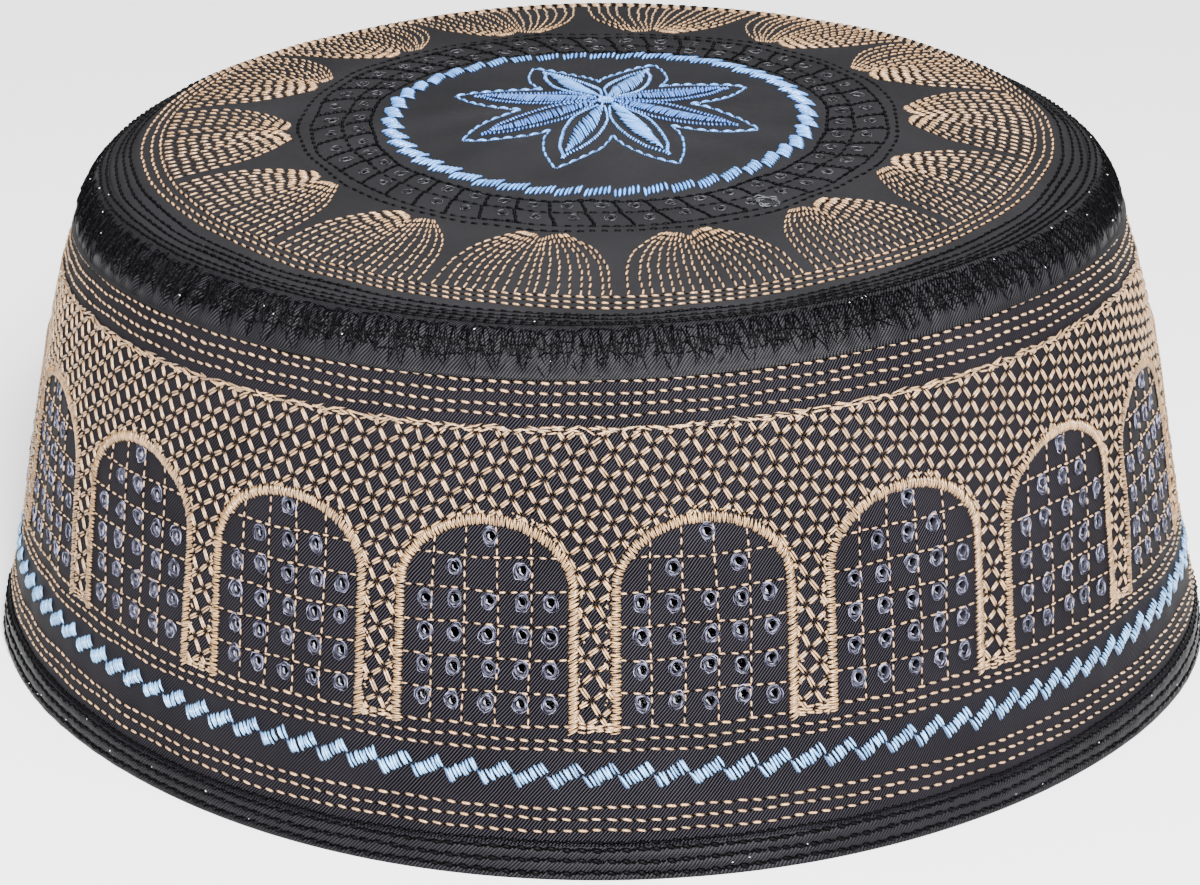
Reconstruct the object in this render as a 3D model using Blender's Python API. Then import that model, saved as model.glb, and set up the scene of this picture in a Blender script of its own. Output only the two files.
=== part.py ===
"""Kufi: a stiff round cap with an embroidered side band, a slightly domed crown,
a gathered seam roll between them and a folded binding round the head opening.

Metres, +Z up. The origin is the middle of the cap's footprint, on the surface that
it rests on, and the front of the cap faces -Y. A piece's cross-section is
drawn in two measures: along, the distance up the outer surface from the bottom
edge to the middle of the crown, and depth, the distance inwards from it.
"""

import math

import bmesh
import bpy
import numpy as np
from mathutils import Matrix

MM = 0.001

# Main form
HEM_RADIUS = 95.0 * MM
TOP_RADIUS = 84.0 * MM
BAND_HEIGHT = 75.0 * MM
CROWN_RADIUS = 70.7 * MM
CROWN_EDGE_HEIGHT = 84.7 * MM
CROWN_CENTRE_HEIGHT = 91.5 * MM

# Cloth and seams
BAND_WALL = 2.4 * MM
CROWN_WALL = 1.8 * MM
SEAM_WALL = 1.1 * MM
CLEARANCE = 0.3 * MM
BINDING_HEIGHT = 5.5 * MM
BINDING_BULGE = 0.4 * MM
BINDING_FOLD = 0.95 * MM
BINDING_FOOT = 2.6 * MM
TONGUE_THICKNESS = 0.7 * MM
STITCH_GROOVE_DEPTH = 0.3 * MM
STITCH_GROOVE_WIDTH = 0.9 * MM
STITCH_GROOVE_HEIGHT = 2.0 * MM
SEAM_TOP_RADIUS = 77.4 * MM
SEAM_BULGE = 0.5 * MM
FLANGE_WALL = 1.0 * MM
GATHER_DEPTH = 0.35 * MM
GATHER_PITCH = 8.4 * MM
CROWN_PUCKER = 0.35 * MM
LIFT = 2.0 * MM
LIFT_START = 8.0 * MM

# Outer profile of the side band: height as a share of BAND_HEIGHT, and lean as a
# share of the step in from HEM_RADIUS to TOP_RADIUS
BAND_PROFILE = (
    (0.00, 0.00),
    (0.05, 0.03),
    (0.13, 0.10),
    (0.27, 0.24),
    (0.47, 0.39),
    (0.67, 0.56),
    (0.83, 0.73),
    (1.00, 1.00),
)

# Shoulder: shares of the way in from TOP_RADIUS to CROWN_RADIUS, and of the way up
# from BAND_HEIGHT to CROWN_EDGE_HEIGHT
SHOULDER_PROFILE = (
    (0.12, 0.36),
    (0.31, 0.70),
    (0.62, 0.86),
    (1.00, 1.00),
)

# Crown: radius as a share of CROWN_RADIUS, and rise as a share of the way up from
# CROWN_EDGE_HEIGHT to CROWN_CENTRE_HEIGHT
CROWN_PROFILE = (
    (0.88, 0.25),
    (0.68, 0.44),
    (0.48, 0.57),
    (0.20, 0.82),
    (0.00, 1.00),
)

# How far each level departs from a circle, as shares of its radius: waves round the
# cap, then the cosine and sine shares at the hem, the band's top and the crown
PLAN_WAVES = (
    (2, -0.021, 0.007, 0.006, 0.004, 0.001, -0.002),
    (3, 0.034, -0.006, -0.005, 0.003, -0.006, 0.006),
    (4, 0.000, 0.000, -0.004, 0.000, 0.020, 0.000),
)

# How far each level rises and sags, as shares of LIFT: waves round the cap, then the
# cosine and sine shares low on the band, at the band's top and at the crown's edge
LIFT_WAVES = (
    (1, -0.20, -0.10, 1.00, 0.75, -0.65, 0.35),
    (2, -0.55, 0.15, 0.30, 0.25, -0.40, 0.05),
    (3, 0.45, 0.00, -0.55, 0.00, 0.30, 0.00),
)

# Heights of the band's sections and places of the crown's, as shares of the profile
BAND_SECTIONS_OUTSIDE = (0.12, 0.19, 0.27, 0.37, 0.47, 0.57, 0.67, 0.77, 0.86, 0.93)
BAND_SECTIONS_INSIDE = (0.27, 0.47, 0.67, 0.86)
CROWN_SECTIONS = (0.98, 0.88, 0.70, 0.48, 0.22)

SEGMENTS_ROUND = 96
GATHER_SEGMENTS = 2
PUCKERS_ROUND = 7

# Part colours: red, green, blue, roughness
CLOTH_COLOURS = {
    "side_band": (0.052, 0.048, 0.058, 0.62),
    "crown": (0.047, 0.047, 0.052, 0.60),
    "crown_seam": (0.012, 0.012, 0.014, 0.75),
    "hem_binding": (0.016, 0.016, 0.018, 0.72),
}


def profile_knots():
    """Radius and height of the profile's knots, from the hem to the crown's middle."""
    band = [
        (HEM_RADIUS + lean * (TOP_RADIUS - HEM_RADIUS), height * BAND_HEIGHT)
        for height, lean in BAND_PROFILE
    ]
    shoulder = [
        (
            TOP_RADIUS + inwards * (CROWN_RADIUS - TOP_RADIUS),
            BAND_HEIGHT + upwards * (CROWN_EDGE_HEIGHT - BAND_HEIGHT),
        )
        for inwards, upwards in SHOULDER_PROFILE
    ]
    crown = [
        (
            radius * CROWN_RADIUS,
            CROWN_EDGE_HEIGHT + rise * (CROWN_CENTRE_HEIGHT - CROWN_EDGE_HEIGHT),
        )
        for radius, rise in CROWN_PROFILE
    ]
    return np.array(band + shoulder + crown)


def smooth_profile(knots, steps=24):
    """Points on a smooth curve through the knots, level where it crosses the axis."""
    before = 2 * knots[0] - knots[1]
    after = knots[-2] * (-1, 1)
    points = np.vstack([before, knots, after])
    gaps = np.linalg.norm(np.diff(points, axis=0), axis=1) ** 0.5
    times = np.concatenate([[0.0], np.cumsum(gaps)])
    slopes = np.array(
        [
            (points[i] - points[i - 1]) / gaps[i - 1]
            - (points[i + 1] - points[i - 1]) / (gaps[i - 1] + gaps[i])
            + (points[i + 1] - points[i]) / gaps[i]
            for i in range(1, len(points) - 1)
        ]
    )
    curve = []
    for i in range(len(knots) - 1):
        length = times[i + 2] - times[i + 1]
        for step in range(steps):
            t = step / steps
            curve.append(
                (2 * t**3 - 3 * t**2 + 1) * knots[i]
                + (t**3 - 2 * t**2 + t) * length * slopes[i]
                + (3 * t**2 - 2 * t**3) * knots[i + 1]
                + (t**3 - t**2) * length * slopes[i + 1]
            )
    curve.append(knots[-1])
    return np.array(curve)


PROFILE = smooth_profile(profile_knots())
PROFILE_ALONG = np.concatenate(
    [[0.0], np.cumsum(np.linalg.norm(np.diff(PROFILE, axis=0), axis=1))]
)
LENGTH = PROFILE_ALONG[-1]


def along_at_height(height):
    """Distance up the side band at which the profile has this height."""
    rising = PROFILE[:, 1] <= CROWN_EDGE_HEIGHT
    return float(np.interp(height, PROFILE[rising, 1], PROFILE_ALONG[rising]))


def along_at_radius(radius):
    """Distance over the crown at which the profile has this radius."""
    return float(np.interp(-radius, -PROFILE[:, 0], PROFILE_ALONG))


def waves(table, theta, column):
    """Sum of a table's waves round the cap, from a pair of its columns."""
    total = np.zeros_like(theta)
    for row in table:
        total += row[column] * np.cos(row[0] * theta)
        total += row[column + 1] * np.sin(row[0] * theta)
    return total


def eased(share):
    """A share that starts and ends gently."""
    share = np.clip(share, 0.0, 1.0)
    return share * share * (3.0 - 2.0 * share)


def outer_surface(along, theta):
    """Radius and height of the outer surface, with the cap's uneven plan and sag."""
    radius = np.interp(along, PROFILE_ALONG, PROFILE[:, 0])
    height = np.interp(along, PROFILE_ALONG, PROFILE[:, 1])
    on_band = along <= along_at_height(BAND_HEIGHT)
    up = np.clip(height / BAND_HEIGHT, 0.0, 1.0)
    past = eased((TOP_RADIUS - radius) / (TOP_RADIUS - CROWN_RADIUS))
    share = np.clip(radius / CROWN_RADIUS, 0.0, 1.0)
    hem = np.where(on_band, 1.0 - up, 0.0)
    top = np.where(on_band, up, 1.0 - past)
    crown = np.where(on_band, 0.0, past)
    low = hem * eased(height / LIFT_START)
    plan = hem * waves(PLAN_WAVES, theta, 1) + top * waves(PLAN_WAVES, theta, 3)
    plan += crown * share**2 * waves(PLAN_WAVES, theta, 5)
    lift = low * waves(LIFT_WAVES, theta, 1) + top * waves(LIFT_WAVES, theta, 3)
    lift += crown * share * waves(LIFT_WAVES, theta, 5)
    return radius * (1.0 + plan), height + LIFT * lift


def formed(along, depth, theta):
    """Points at a depth under the outer surface, as rows of x, y and z."""
    reach = 0.4 * MM
    radius, height = outer_surface(along, theta)
    radius_on, height_on = outer_surface(np.minimum(along + reach, LENGTH), theta)
    radius_back, height_back = outer_surface(np.maximum(along - reach, 0.0), theta)
    step_out, step_up = radius_on - radius_back, height_on - height_back
    size = np.hypot(step_out, step_up)
    radius = radius - depth * step_up / size
    height = np.where(along > 0.0, height + depth * step_out / size, 0.0)
    return np.column_stack([radius * np.sin(theta), -radius * np.cos(theta), height])


def ridged(along, theta, start, end, count, size):
    """Outward swell of small gathers, strongest midway from start to end."""
    place = np.clip((along - start) / (end - start), 0.0, 1.0)
    sway = 0.75 + 0.25 * np.sin(5.0 * theta + 1.0)
    return size * sway * np.sin(math.pi * place) * 0.5 * (1.0 + np.cos(count * theta))


def cloth(name):
    """Plain cloth for one piece."""
    red, green, blue, roughness = CLOTH_COLOURS[name]
    material = bpy.data.materials.new(name + "_cloth")
    material.use_nodes = True
    shader = material.node_tree.nodes["Principled BSDF"]
    shader.inputs["Base Color"].default_value = (red, green, blue, 1.0)
    shader.inputs["Roughness"].default_value = roughness
    shader.inputs["Metallic"].default_value = 0.0
    return material


def turned_piece(name, section, closed=True, segments=SEGMENTS_ROUND, swell=None):
    """Turns a section of (along, depth) points round the axis and forms the result."""
    bm = bmesh.new()
    along_layer = bm.verts.layers.float.new("along")
    depth_layer = bm.verts.layers.float.new("depth")
    corners = []
    for along, depth in section:
        radius = float(np.interp(along, PROFILE_ALONG, PROFILE[:, 0]))
        corner = bm.verts.new((0.0, -radius, -depth))
        corner[along_layer] = along
        corner[depth_layer] = depth
        corners.append(corner)
    pairs = list(zip(corners, corners[1:]))
    if closed:
        pairs.append((corners[-1], corners[0]))
    for first, second in pairs:
        bm.edges.new((first, second))
    bmesh.ops.spin(
        bm,
        geom=bm.verts[:] + bm.edges[:],
        axis=(0.0, 0.0, 1.0),
        cent=(0.0, 0.0, 0.0),
        angle=2.0 * math.pi,
        steps=segments,
        use_merge=True,
    )
    bm.verts.ensure_lookup_table()
    spots = np.array([vertex.co[:] for vertex in bm.verts])
    along = np.array([vertex[along_layer] for vertex in bm.verts])
    depth = np.array([vertex[depth_layer] for vertex in bm.verts])
    theta = np.arctan2(spots[:, 0], -spots[:, 1])
    if swell:
        depth = depth - swell(along, theta, depth)
    for vertex, place in zip(bm.verts, formed(along, depth, theta)):
        vertex.co = place
    bmesh.ops.remove_doubles(bm, verts=bm.verts[:], dist=0.001 * MM)
    bmesh.ops.recalc_face_normals(bm, faces=bm.faces[:])
    mesh = bpy.data.meshes.new(name)
    bm.to_mesh(mesh)
    bm.free()
    mesh.shade_smooth()
    mesh.set_sharp_from_angle(angle=math.radians(50.0))
    mesh.materials.append(cloth(name))
    piece = bpy.data.objects.new(name, mesh)
    bpy.context.collection.objects.link(piece)
    return piece


def hem_binding():
    """Folded strip with a flat foot, a stitched groove and a slot for the band."""
    top = BINDING_HEIGHT
    thick = BAND_WALL + BINDING_BULGE
    edge = (thick - BINDING_FOOT) / 2.0
    slot_mouth = BINDING_FOLD - CLEARANCE
    slot_back = BINDING_FOLD + TONGUE_THICKNESS + CLEARANCE
    slot_floor = STITCH_GROOVE_HEIGHT + STITCH_GROOVE_WIDTH
    groove = STITCH_GROOVE_HEIGHT
    half = STITCH_GROOVE_WIDTH / 2.0
    outside = -BINDING_BULGE
    section = (
        (0.0, outside + edge),
        (0.16 * top, outside),
        (groove - half, outside),
        (groove, outside + STITCH_GROOVE_DEPTH),
        (groove + half, outside),
        (0.84 * top, outside),
        (top, 0.0),
        (top, slot_mouth),
        (slot_floor, slot_mouth),
        (slot_floor, slot_back),
        (top, slot_back),
        (top, BAND_WALL),
        (0.0, BAND_WALL - edge),
    )
    return turned_piece("hem_binding", section)


def side_band():
    """Hollow tapered wall, its bottom edge thinned to a tongue held by the binding."""
    start = BINDING_HEIGHT + CLEARANCE
    end = along_at_height(BAND_HEIGHT)
    tongue_start = STITCH_GROOVE_HEIGHT + STITCH_GROOVE_WIDTH + CLEARANCE
    tongue_front = BINDING_FOLD
    tongue_back = BINDING_FOLD + TONGUE_THICKNESS
    outside = [(start, 0.0)]
    outside += [(share * end, 0.0) for share in BAND_SECTIONS_OUTSIDE]
    outside += [(end, 0.0)]
    inside = [(end, BAND_WALL)]
    inside += [(share * end, BAND_WALL) for share in reversed(BAND_SECTIONS_INSIDE)]
    inside += [(start, BAND_WALL)]
    tongue = [
        (start, tongue_back),
        (tongue_start, tongue_back),
        (tongue_start, tongue_front),
        (start, tongue_front),
    ]
    return turned_piece("side_band", outside + inside + tongue)


def crown_seam():
    """Gathered roll of cloth over the shoulder, between the band and the crown."""
    start = along_at_height(BAND_HEIGHT) + CLEARANCE
    end = along_at_radius(SEAM_TOP_RADIUS)
    span = end - start
    outside = [
        (start, 0.0),
        (start + 0.2 * span, -0.6 * SEAM_BULGE),
        (start + 0.5 * span, -SEAM_BULGE),
        (start + 0.8 * span, -0.6 * SEAM_BULGE),
        (end, 0.0),
    ]
    inside = [(end, SEAM_WALL), (start + 0.5 * span, SEAM_WALL), (start, SEAM_WALL)]
    girth = 2.0 * math.pi * float(np.interp(start, PROFILE_ALONG, PROFILE[:, 0]))
    gathers = round(girth / GATHER_PITCH)

    def swell(along, theta, depth):
        on_outside = depth < SEAM_WALL / 2.0
        raised = ridged(along, theta, start, end, gathers, GATHER_DEPTH)
        return np.where(on_outside, raised, 0.0)

    segments = gathers * GATHER_SEGMENTS
    return turned_piece("crown_seam", outside + inside, True, segments, swell)


def crown():
    """Domed top panel, its edge turned down under the seam roll to the band's top."""
    rim = along_at_radius(SEAM_TOP_RADIUS) + CLEARANCE
    foot = along_at_height(BAND_HEIGHT) + CLEARANCE
    under = SEAM_WALL + CLEARANCE
    bend = (foot + rim) / 2.0
    flat = [along_at_radius(share * CROWN_RADIUS) for share in CROWN_SECTIONS]
    back = under + FLANGE_WALL
    outside = [(LENGTH, 0.0)]
    outside += [(place, 0.0) for place in reversed(flat)]
    outside += [((rim + flat[0]) / 2.0, 0.0), (rim, 0.0)]
    flange = [(rim, under), (bend, under), (foot, under), (foot, back), (bend, back)]
    inside = [(flat[0], CROWN_WALL), (flat[2], CROWN_WALL), (LENGTH, CROWN_WALL)]

    def swell(along, theta, depth):
        return ridged(along, theta, flat[0], LENGTH, PUCKERS_ROUND, CROWN_PUCKER)

    return turned_piece("crown", outside + flange + inside, False, swell=swell)


def centre_on_origin(pieces):
    """Moves the uneven plan sideways until its footprint is centred on the origin."""
    spots = np.array([vertex.co[:] for piece in pieces for vertex in piece.data.vertices])
    middle = (spots.min(axis=0) + spots.max(axis=0)) / 2.0
    for piece in pieces:
        piece.data.transform(Matrix.Translation((-middle[0], -middle[1], 0.0)))


def clear_scene():
    """Empties the scene of whatever it opened with."""
    for thing in list(bpy.data.objects):
        bpy.data.objects.remove(thing, do_unlink=True)


def main():
    clear_scene()
    centre_on_origin([hem_binding(), side_band(), crown_seam(), crown()])


main()
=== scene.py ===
"""Kufi, dressed: cloth, seams, eyelets and embroidery, laid over the frame's solids.

Patterns are drawn flat, in millimetres, and then laid on the cap. On the side band x
runs round the cap from its front and y is the height. On the seam roll and the hem
binding y is the distance up the cloth. On the crown x and y are the plan's. Out is
the height above the cloth.
"""

import math

import bmesh
import bpy
import numpy as np
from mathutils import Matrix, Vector


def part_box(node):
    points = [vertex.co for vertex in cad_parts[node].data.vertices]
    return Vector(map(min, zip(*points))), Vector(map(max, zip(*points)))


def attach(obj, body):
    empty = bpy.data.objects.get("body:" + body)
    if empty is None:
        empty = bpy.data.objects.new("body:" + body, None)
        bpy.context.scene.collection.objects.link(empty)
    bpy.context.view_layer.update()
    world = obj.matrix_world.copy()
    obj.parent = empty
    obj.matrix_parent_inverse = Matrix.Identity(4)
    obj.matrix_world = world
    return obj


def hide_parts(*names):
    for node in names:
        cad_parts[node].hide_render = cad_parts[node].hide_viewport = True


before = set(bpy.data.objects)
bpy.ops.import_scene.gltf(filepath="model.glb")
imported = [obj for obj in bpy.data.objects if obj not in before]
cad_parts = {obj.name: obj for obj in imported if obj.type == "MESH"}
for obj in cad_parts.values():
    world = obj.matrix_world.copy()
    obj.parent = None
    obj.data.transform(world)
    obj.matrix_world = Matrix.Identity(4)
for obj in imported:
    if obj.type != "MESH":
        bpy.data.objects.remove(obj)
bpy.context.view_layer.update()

MM = 0.001
TURN = 2.0 * math.pi

# Main form, as the solids have it
HEM_RADIUS = 95.0
TOP_RADIUS = 84.0
BAND_HEIGHT = 75.0
CROWN_RADIUS = 70.7
CROWN_EDGE_HEIGHT = 84.7
CROWN_CENTRE_HEIGHT = 91.5
BAND_WALL = 2.4
CROWN_WALL = 1.6
BINDING_HEIGHT = 5.5
BINDING_BULGE = 0.4
BINDING_WALL = 2.8
BINDING_FOOT = 2.6
SEAM_TOP_RADIUS = 77.4
SEAM_BULGE = 0.55
LIFT = 2.0
LIFT_START = 8.0

# Outer profile of the side band: height as a share of BAND_HEIGHT, and lean as a
# share of the step in from HEM_RADIUS to TOP_RADIUS
BAND_PROFILE = (
    (0.00, 0.00), (0.05, 0.03), (0.13, 0.10), (0.27, 0.24),
    (0.47, 0.39), (0.67, 0.56), (0.83, 0.73), (1.00, 1.00),
)

# Shoulder: shares of the way in from TOP_RADIUS to CROWN_RADIUS, and of the way up
# from BAND_HEIGHT to CROWN_EDGE_HEIGHT
SHOULDER_PROFILE = ((0.12, 0.36), (0.31, 0.70), (0.62, 0.86), (1.00, 1.00))

# Crown: radius as a share of CROWN_RADIUS, and rise as a share of the way up from
# CROWN_EDGE_HEIGHT to CROWN_CENTRE_HEIGHT
CROWN_PROFILE = ((0.88, 0.25), (0.68, 0.44), (0.48, 0.57), (0.20, 0.82), (0.00, 1.00))

# How far each level departs from a circle, as shares of its radius: waves round the
# cap, then the cosine and sine shares at the hem, the band's top and the crown
PLAN_WAVES = (
    (2, -0.021, 0.007, 0.006, 0.004, 0.001, -0.002),
    (3, 0.034, -0.006, -0.005, 0.003, -0.006, 0.006),
    (4, 0.000, 0.000, -0.004, 0.000, 0.020, 0.000),
)

# How far each level rises and sags, as shares of LIFT: waves round the cap, then the
# cosine and sine shares low on the band, at the band's top and at the crown's edge
LIFT_WAVES = (
    (1, -0.20, -0.10, 1.00, 0.75, -0.65, 0.35),
    (2, -0.55, 0.15, 0.30, 0.25, -0.40, 0.05),
    (3, 0.45, 0.00, -0.55, 0.00, 0.30, 0.00),
)

# Cloth of the side band: cells to an arch, the height where it starts behind the binding,
# how far it passes under the seam roll, and its wall
ARCH_CELLS = 27
BAND_CLOTH_FOOT = 4.6
BAND_CLOTH_LAP = 0.1
BAND_CLOTH_WALL = BAND_WALL - 0.3

# Other cloth: steps round the cap, pleats of the seam roll, the valleys that rings of
# stitches pull in the crown, and the reach within which corners are joined
CROWN_STEPS = 224
ROLL_STEPS = 708
BINDING_STEPS = 448
PLEATS = 118
VALLEY_DEPTH = 0.24
VALLEY_REACH = 0.5
WELD = 0.02 * MM

# Embroidery on the side band. A chain is where its stitches start and end on a side of
# the lattice, and how bright they are
ARCHES = 17
FIRST_PIER = -0.8
PITCH_HEIGHT = 20.0
ARCH_HALF_WIDTH = 14.75
ARCH_FOOT = 22.5
ARCH_SPRING = 43.6
ARCH_RISE = 11.5
ARCH_CORD = 1.8
ARCH_CORD_PITCH = 0.35
CORD_SLANT = 0.09
CORD_LEAN = 0.42
CORD_INNER_STRAY = 0.14
CORD_OUTER_STRAY = 0.22
GRID_COLUMNS = (-8.5, -3.4, 1.85, 7.1)
GRID_BASE = 23.4
GRID_ROW = 5.05
GRID_ROWS = 5
EYELET_COLUMNS = (-9.7, -4.75, 0.7, 5.75, 10.35)
EYELET_BASE = 26.9
EYELET_ROW = 5.03
EYELET_RADIUS = 1.22
EYELET_HOLE = 0.72
EYELET_TALL = 1.08
EYELET_SINK = 0.25
EYELET_STRAY = 0.28
UPPER_EYELET_SHIFT = 0.4
LATTICE_TOP = 67.5
LATTICE_STEPS = (169, 110)
LATTICE_COLUMNS = np.arange(0, 190)
LATTICE_ROWS = np.arange(-40, 125)
LATTICE_STRAY = 0.19
CHAIN_APART = 0.15
CHAIN_BOW = 0.06
RISING_CHAIN = (0.13, 0.87, 0.78)
FALLING_CHAIN = (0.06, 0.94, 1.0)
LOWER_LINES = (7.95, 9.7, 11.4)
MIDDLE_LINES = (20.0, 21.5, 23.4)
UPPER_LINES = (69.55, 71.15, 72.75, 74.3)
ZIGZAG_HEIGHT = 16.3
ZIGZAG_BLOCKS = 109
ZIGZAG_THREADS = 9
ZIGZAG_STEP = (0.50, 0.27)
ZIGZAG_REACH = (1.25, -1.95)
ZIGZAG_START_STRAY = 0.18
ZIGZAG_END_STRAY = 0.20

# Border's tangle: height, pitch and width of its rows, its heights at the foot of a pier,
# and the loose ends round an arch
BORDER_ROWS = ((67.25, 2.0, 0.36), (67.65, 2.3, 0.40), (67.5, 2.9, 0.34), (67.8, 3.4, 0.30))
PIER_FOOT_ROWS = (22.9, 23.3, 23.9)
ARCH_TUFTS = 56

# Embroidery on the crown
TAN_RINGS = (68.2, 69.5, 70.8)
BLACK_RINGS = (72.8, 74.4, 75.9)
FANS = 14
FIRST_FAN = math.radians(-10.2)
FAN_LINES = 18
FAN_HALF = math.radians(12.2)
FAN_PIVOT = 50.7
FAN_SHOULDER = 2.3
FAN_FOOT = 68.0
GRID_RINGS = (36.1, 40.3, 45.3, 47.1)
GRID_CELLS = 46
GRID_LEANS = (0.03, 0.045)
CROWN_EYELETS = ((38.1, 0.01), (42.5, 0.04))
LARGE_EYELET = (44.0, math.radians(35.8))
RING_RADIUS = 32.7
RING_HALF = 1.45
RING_BLOCKS = 46
RING_THREADS = 6
RING_STEP = (0.72, 0.24)
FLOWER_CENTRE = (0.9, 0.9)
PETALS = 8
FIRST_PETAL = math.radians(27.0)
LEAF_START = 1.0
LEAF_END = 20.6
LEAF_HALF = 1.8
LEAF_PITCH = 0.44
LEAF_ANGLE = math.radians(34.0)
SIDE_LEAF_ANGLE = math.radians(76.0)
VEIN_PITCH = 0.60
VEIN_HALF = (0.22, 0.30)
NOTCH_RADIUS = 13.3
PETAL_BEND = (18.6, 6.0)
PETAL_TIP = 25.4
SPOKES = 22

# Overlock loops on the seam roll: step round it, shares of its span at which they
# turn, and their stray round it; then the rows of its tangle and of its running stitches
OVERLOCK_ROWS = (
    (0.80, 0.24, 0.72, 0.5),
    (1.00, 0.34, 0.78, 0.7),
    (1.30, 0.12, 0.62, 1.0),
    (1.60, 0.18, 0.75, 1.4),
    (2.10, 0.06, 0.50, 1.6),
)
TANGLE_SHARES = (0.70, 0.46, 0.30)
TANGLE_PITCH = 1.7
ROLL_ROW_SHARES = (0.84, 0.97)
HEM_ROWS = (1.1, 3.1, 5.1)
HEM_JOIN_HEIGHT = 6.2

# Running stitches: how far a stitch's start and end stray, as shares of the pitch, how far
# its lean and place across the row do, and how far the sunk thread laps under it
RUN_START_STRAY = 0.05
RUN_END_STRAY = 0.07
RUN_LEAN_STRAY = 0.05
RUN_WANDER = 0.06
RUN_LAP = 0.2

# Rows of running stitches: pitch, length of a stitch, width and slant
BAND_RUN = (2.2, 1.74, 0.48, 0.12)
GRID_UP_RUN = (1.72, 1.24, 0.38, 0.0)
GRID_ACROSS_RUN = (1.85, 1.36, 0.38, 0.0)
TAN_RING_RUN = (1.9, 1.5, 0.50, 0.10)
FAN_RUN = (1.85, 1.6, 0.41, 0.12)
BLACK_RING_RUN = (1.9, 1.5, 0.62, 0.06)
BLACK_CELL_RUN = (1.5, 1.3, 0.62, 0.0)
PETAL_RUN = (1.95, 1.75, 0.56, 0.05)
ROLL_RUN = (2.2, 1.75, 0.6, 0.06)
HEM_RUN = (2.2, 1.7, 0.85, 0.22)
HEM_JOIN_RUN = (1.6, 1.25, 0.6, 0.16)

# Kinds of stitch: width, thickness, height of the middle over the cloth and how far the
# ends sink below it, then the bow, the tone and what Stitches.lay draws for each one
RUN_TOP = dict(wide=1.0, high=0.9, out=0.13, dip=0.16, spread=(0.88, 1.12), bend=0.05, tones=(0.62, 1.1))
# The sunk thread between running stitches is drawn at tone 0, in its shadow colour: real thread with
# painted shade
RUN_GAP = dict(wide=0.95, high=0.4, out=0.04, dip=0.02, tone=0.0)
CHAIN = dict(wide=0.40, high=0.36, out=0.20, dip=0.16, spread=(0.85, 1.15), tones=(0.68, 1.15))
# Painted shadow: a wide dark thread under each side of the lattice, outlining its stitches
CHAIN_SHADOW = dict(wide=1.15, high=0.16, out=0.05, dip=0.04, tones=(0.0, 0.06))
BORDER_TANGLE = dict(wide=1.0, high=1.0, out=0.24, dip=0.2, bend=0.25, tones=(0.35, 1.0))
ARCH_TUFT = dict(wide=0.36, high=0.34, out=0.22, dip=0.18, bend=0.2, tones=(0.3, 1.0))
PIER_TUFT = dict(wide=0.42, high=0.4, out=0.22, dip=0.18, bend=0.2, tones=(0.6, 1.0))
CORD = dict(wide=0.38, high=0.38, out=0.44, dip=0.36, spread=(0.8, 1.12), bend=0.05, tones=(0.4, 1.2))
ZIGZAG = dict(wide=0.50, high=0.44, out=0.34, dip=0.32, spread=(0.8, 1.15), bend=0.10, tones=(0.5, 1.25))
ZIGZAG_SHADOW = dict(wide=0.5, high=0.3, out=0.1, dip=0.1, tone=0.1)
EYELET_WALL = dict(high=0.34, dip=0.0, spread=(0.7, 1.15), tones=(0.25, 1.0), stray=0.18)
# Painted shadow: a flat stitch at tone 0, the black's shadow colour, where each crown eyelet's hole would
# show
EYELET_HOLE_SHADOW = dict(wide=0.85, high=0.12, out=0.06, dip=0.02, tone=0.0)
RING_SATIN = dict(wide=0.60, high=0.5, out=0.34, dip=0.32, bend=0.05, tones=(0.6, 1.2), stray=0.13)
LEAF_SATIN = dict(wide=0.50, high=0.42, out=0.50, dip=0.42, bend=0.08, tones=(0.65, 1.15), stray=0.16)
VEIN = dict(wide=0.46, high=0.36, out=0.28, dip=0.26, tones=(0.5, 1.15), stray=0.06)
SPOKE = dict(wide=0.42, high=0.4, out=0.50, dip=0.35, bow=0.1, tones=(0.9, 1.15))
OVERLOCK = dict(wide=0.27, high=0.26, out=0.11, dip=0.06, lift=0.05, bend=0.45, tones=(0.1, 1.6))
ROLL_TANGLE = dict(wide=0.34, high=0.32, out=0.14, dip=0.10, bend=0.4, tones=(0.2, 1.8))
LINT_SPECK = dict(wide=0.17, high=0.15, out=0.30, dip=0.0)

# Threads across the lower wall of an eyelet's hole, in a lighter copy of the lilac as painted light
# where light falls on that wall: start and end from its centre, width, height, bow and tone
EYELET_WALL_THREADS = (
    ((-0.50, 0.30), (-0.12, -0.62), dict(wide=0.52, out=-0.34, bow=-0.12, tone=1.0)),
    ((-0.58, -0.05), (0.28, -0.66), dict(wide=0.36, out=-0.16, bow=-0.14, tone=0.7)),
)

# Kinds of wound ring: size, height against width, how far it is out of true, height over
# the cloth and range of tones
# Painted shade: the collars' tones stay near the lilac's shadow colour, darkening the holes they turn
# down into
SHADED_COLLAR_RING = dict(size=1.02 * EYELET_RADIUS, tall=1.12, uneven=0.05, above=0.04, tones=(0.02, 0.14))
THREAD_LOOPS = (
    dict(size=1.24, tall=1.12, uneven=0.10, above=0.16, tones=(0.35, 1.15)),
    dict(size=1.03, tall=1.12, uneven=0.10, above=0.20, tones=(0.35, 1.15)),
    dict(size=0.84, tall=1.12, uneven=0.10, above=0.24, tones=(0.35, 1.15)),
)
CROWN_OUTER_LOOP = dict(size=0.98, tall=1.0, uneven=0.12, above=0.16, tones=(0.6, 1.6))
CROWN_INNER_LOOP = dict(size=0.62, tall=1.0, uneven=0.14, above=0.14, tones=(0.6, 1.9))
LARGE_LOOP = dict(size=1.5, tall=1.0, uneven=0.2, above=0.18, tones=(0.8, 2.2))

# Section of a wound eyelet, which turns down into its hole: radius and out
COLLAR_SECTION = ((0.98, -0.10), (0.88, 0.06), (0.70, 0.06), (0.62, -0.20), (0.58, -1.5), (0.76, -1.5))

# Painted shade: how much darker a stitch is drawn at its ends and at its sides
END_SHADE = 0.85
SIDE_SHADE = 0.80

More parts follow.
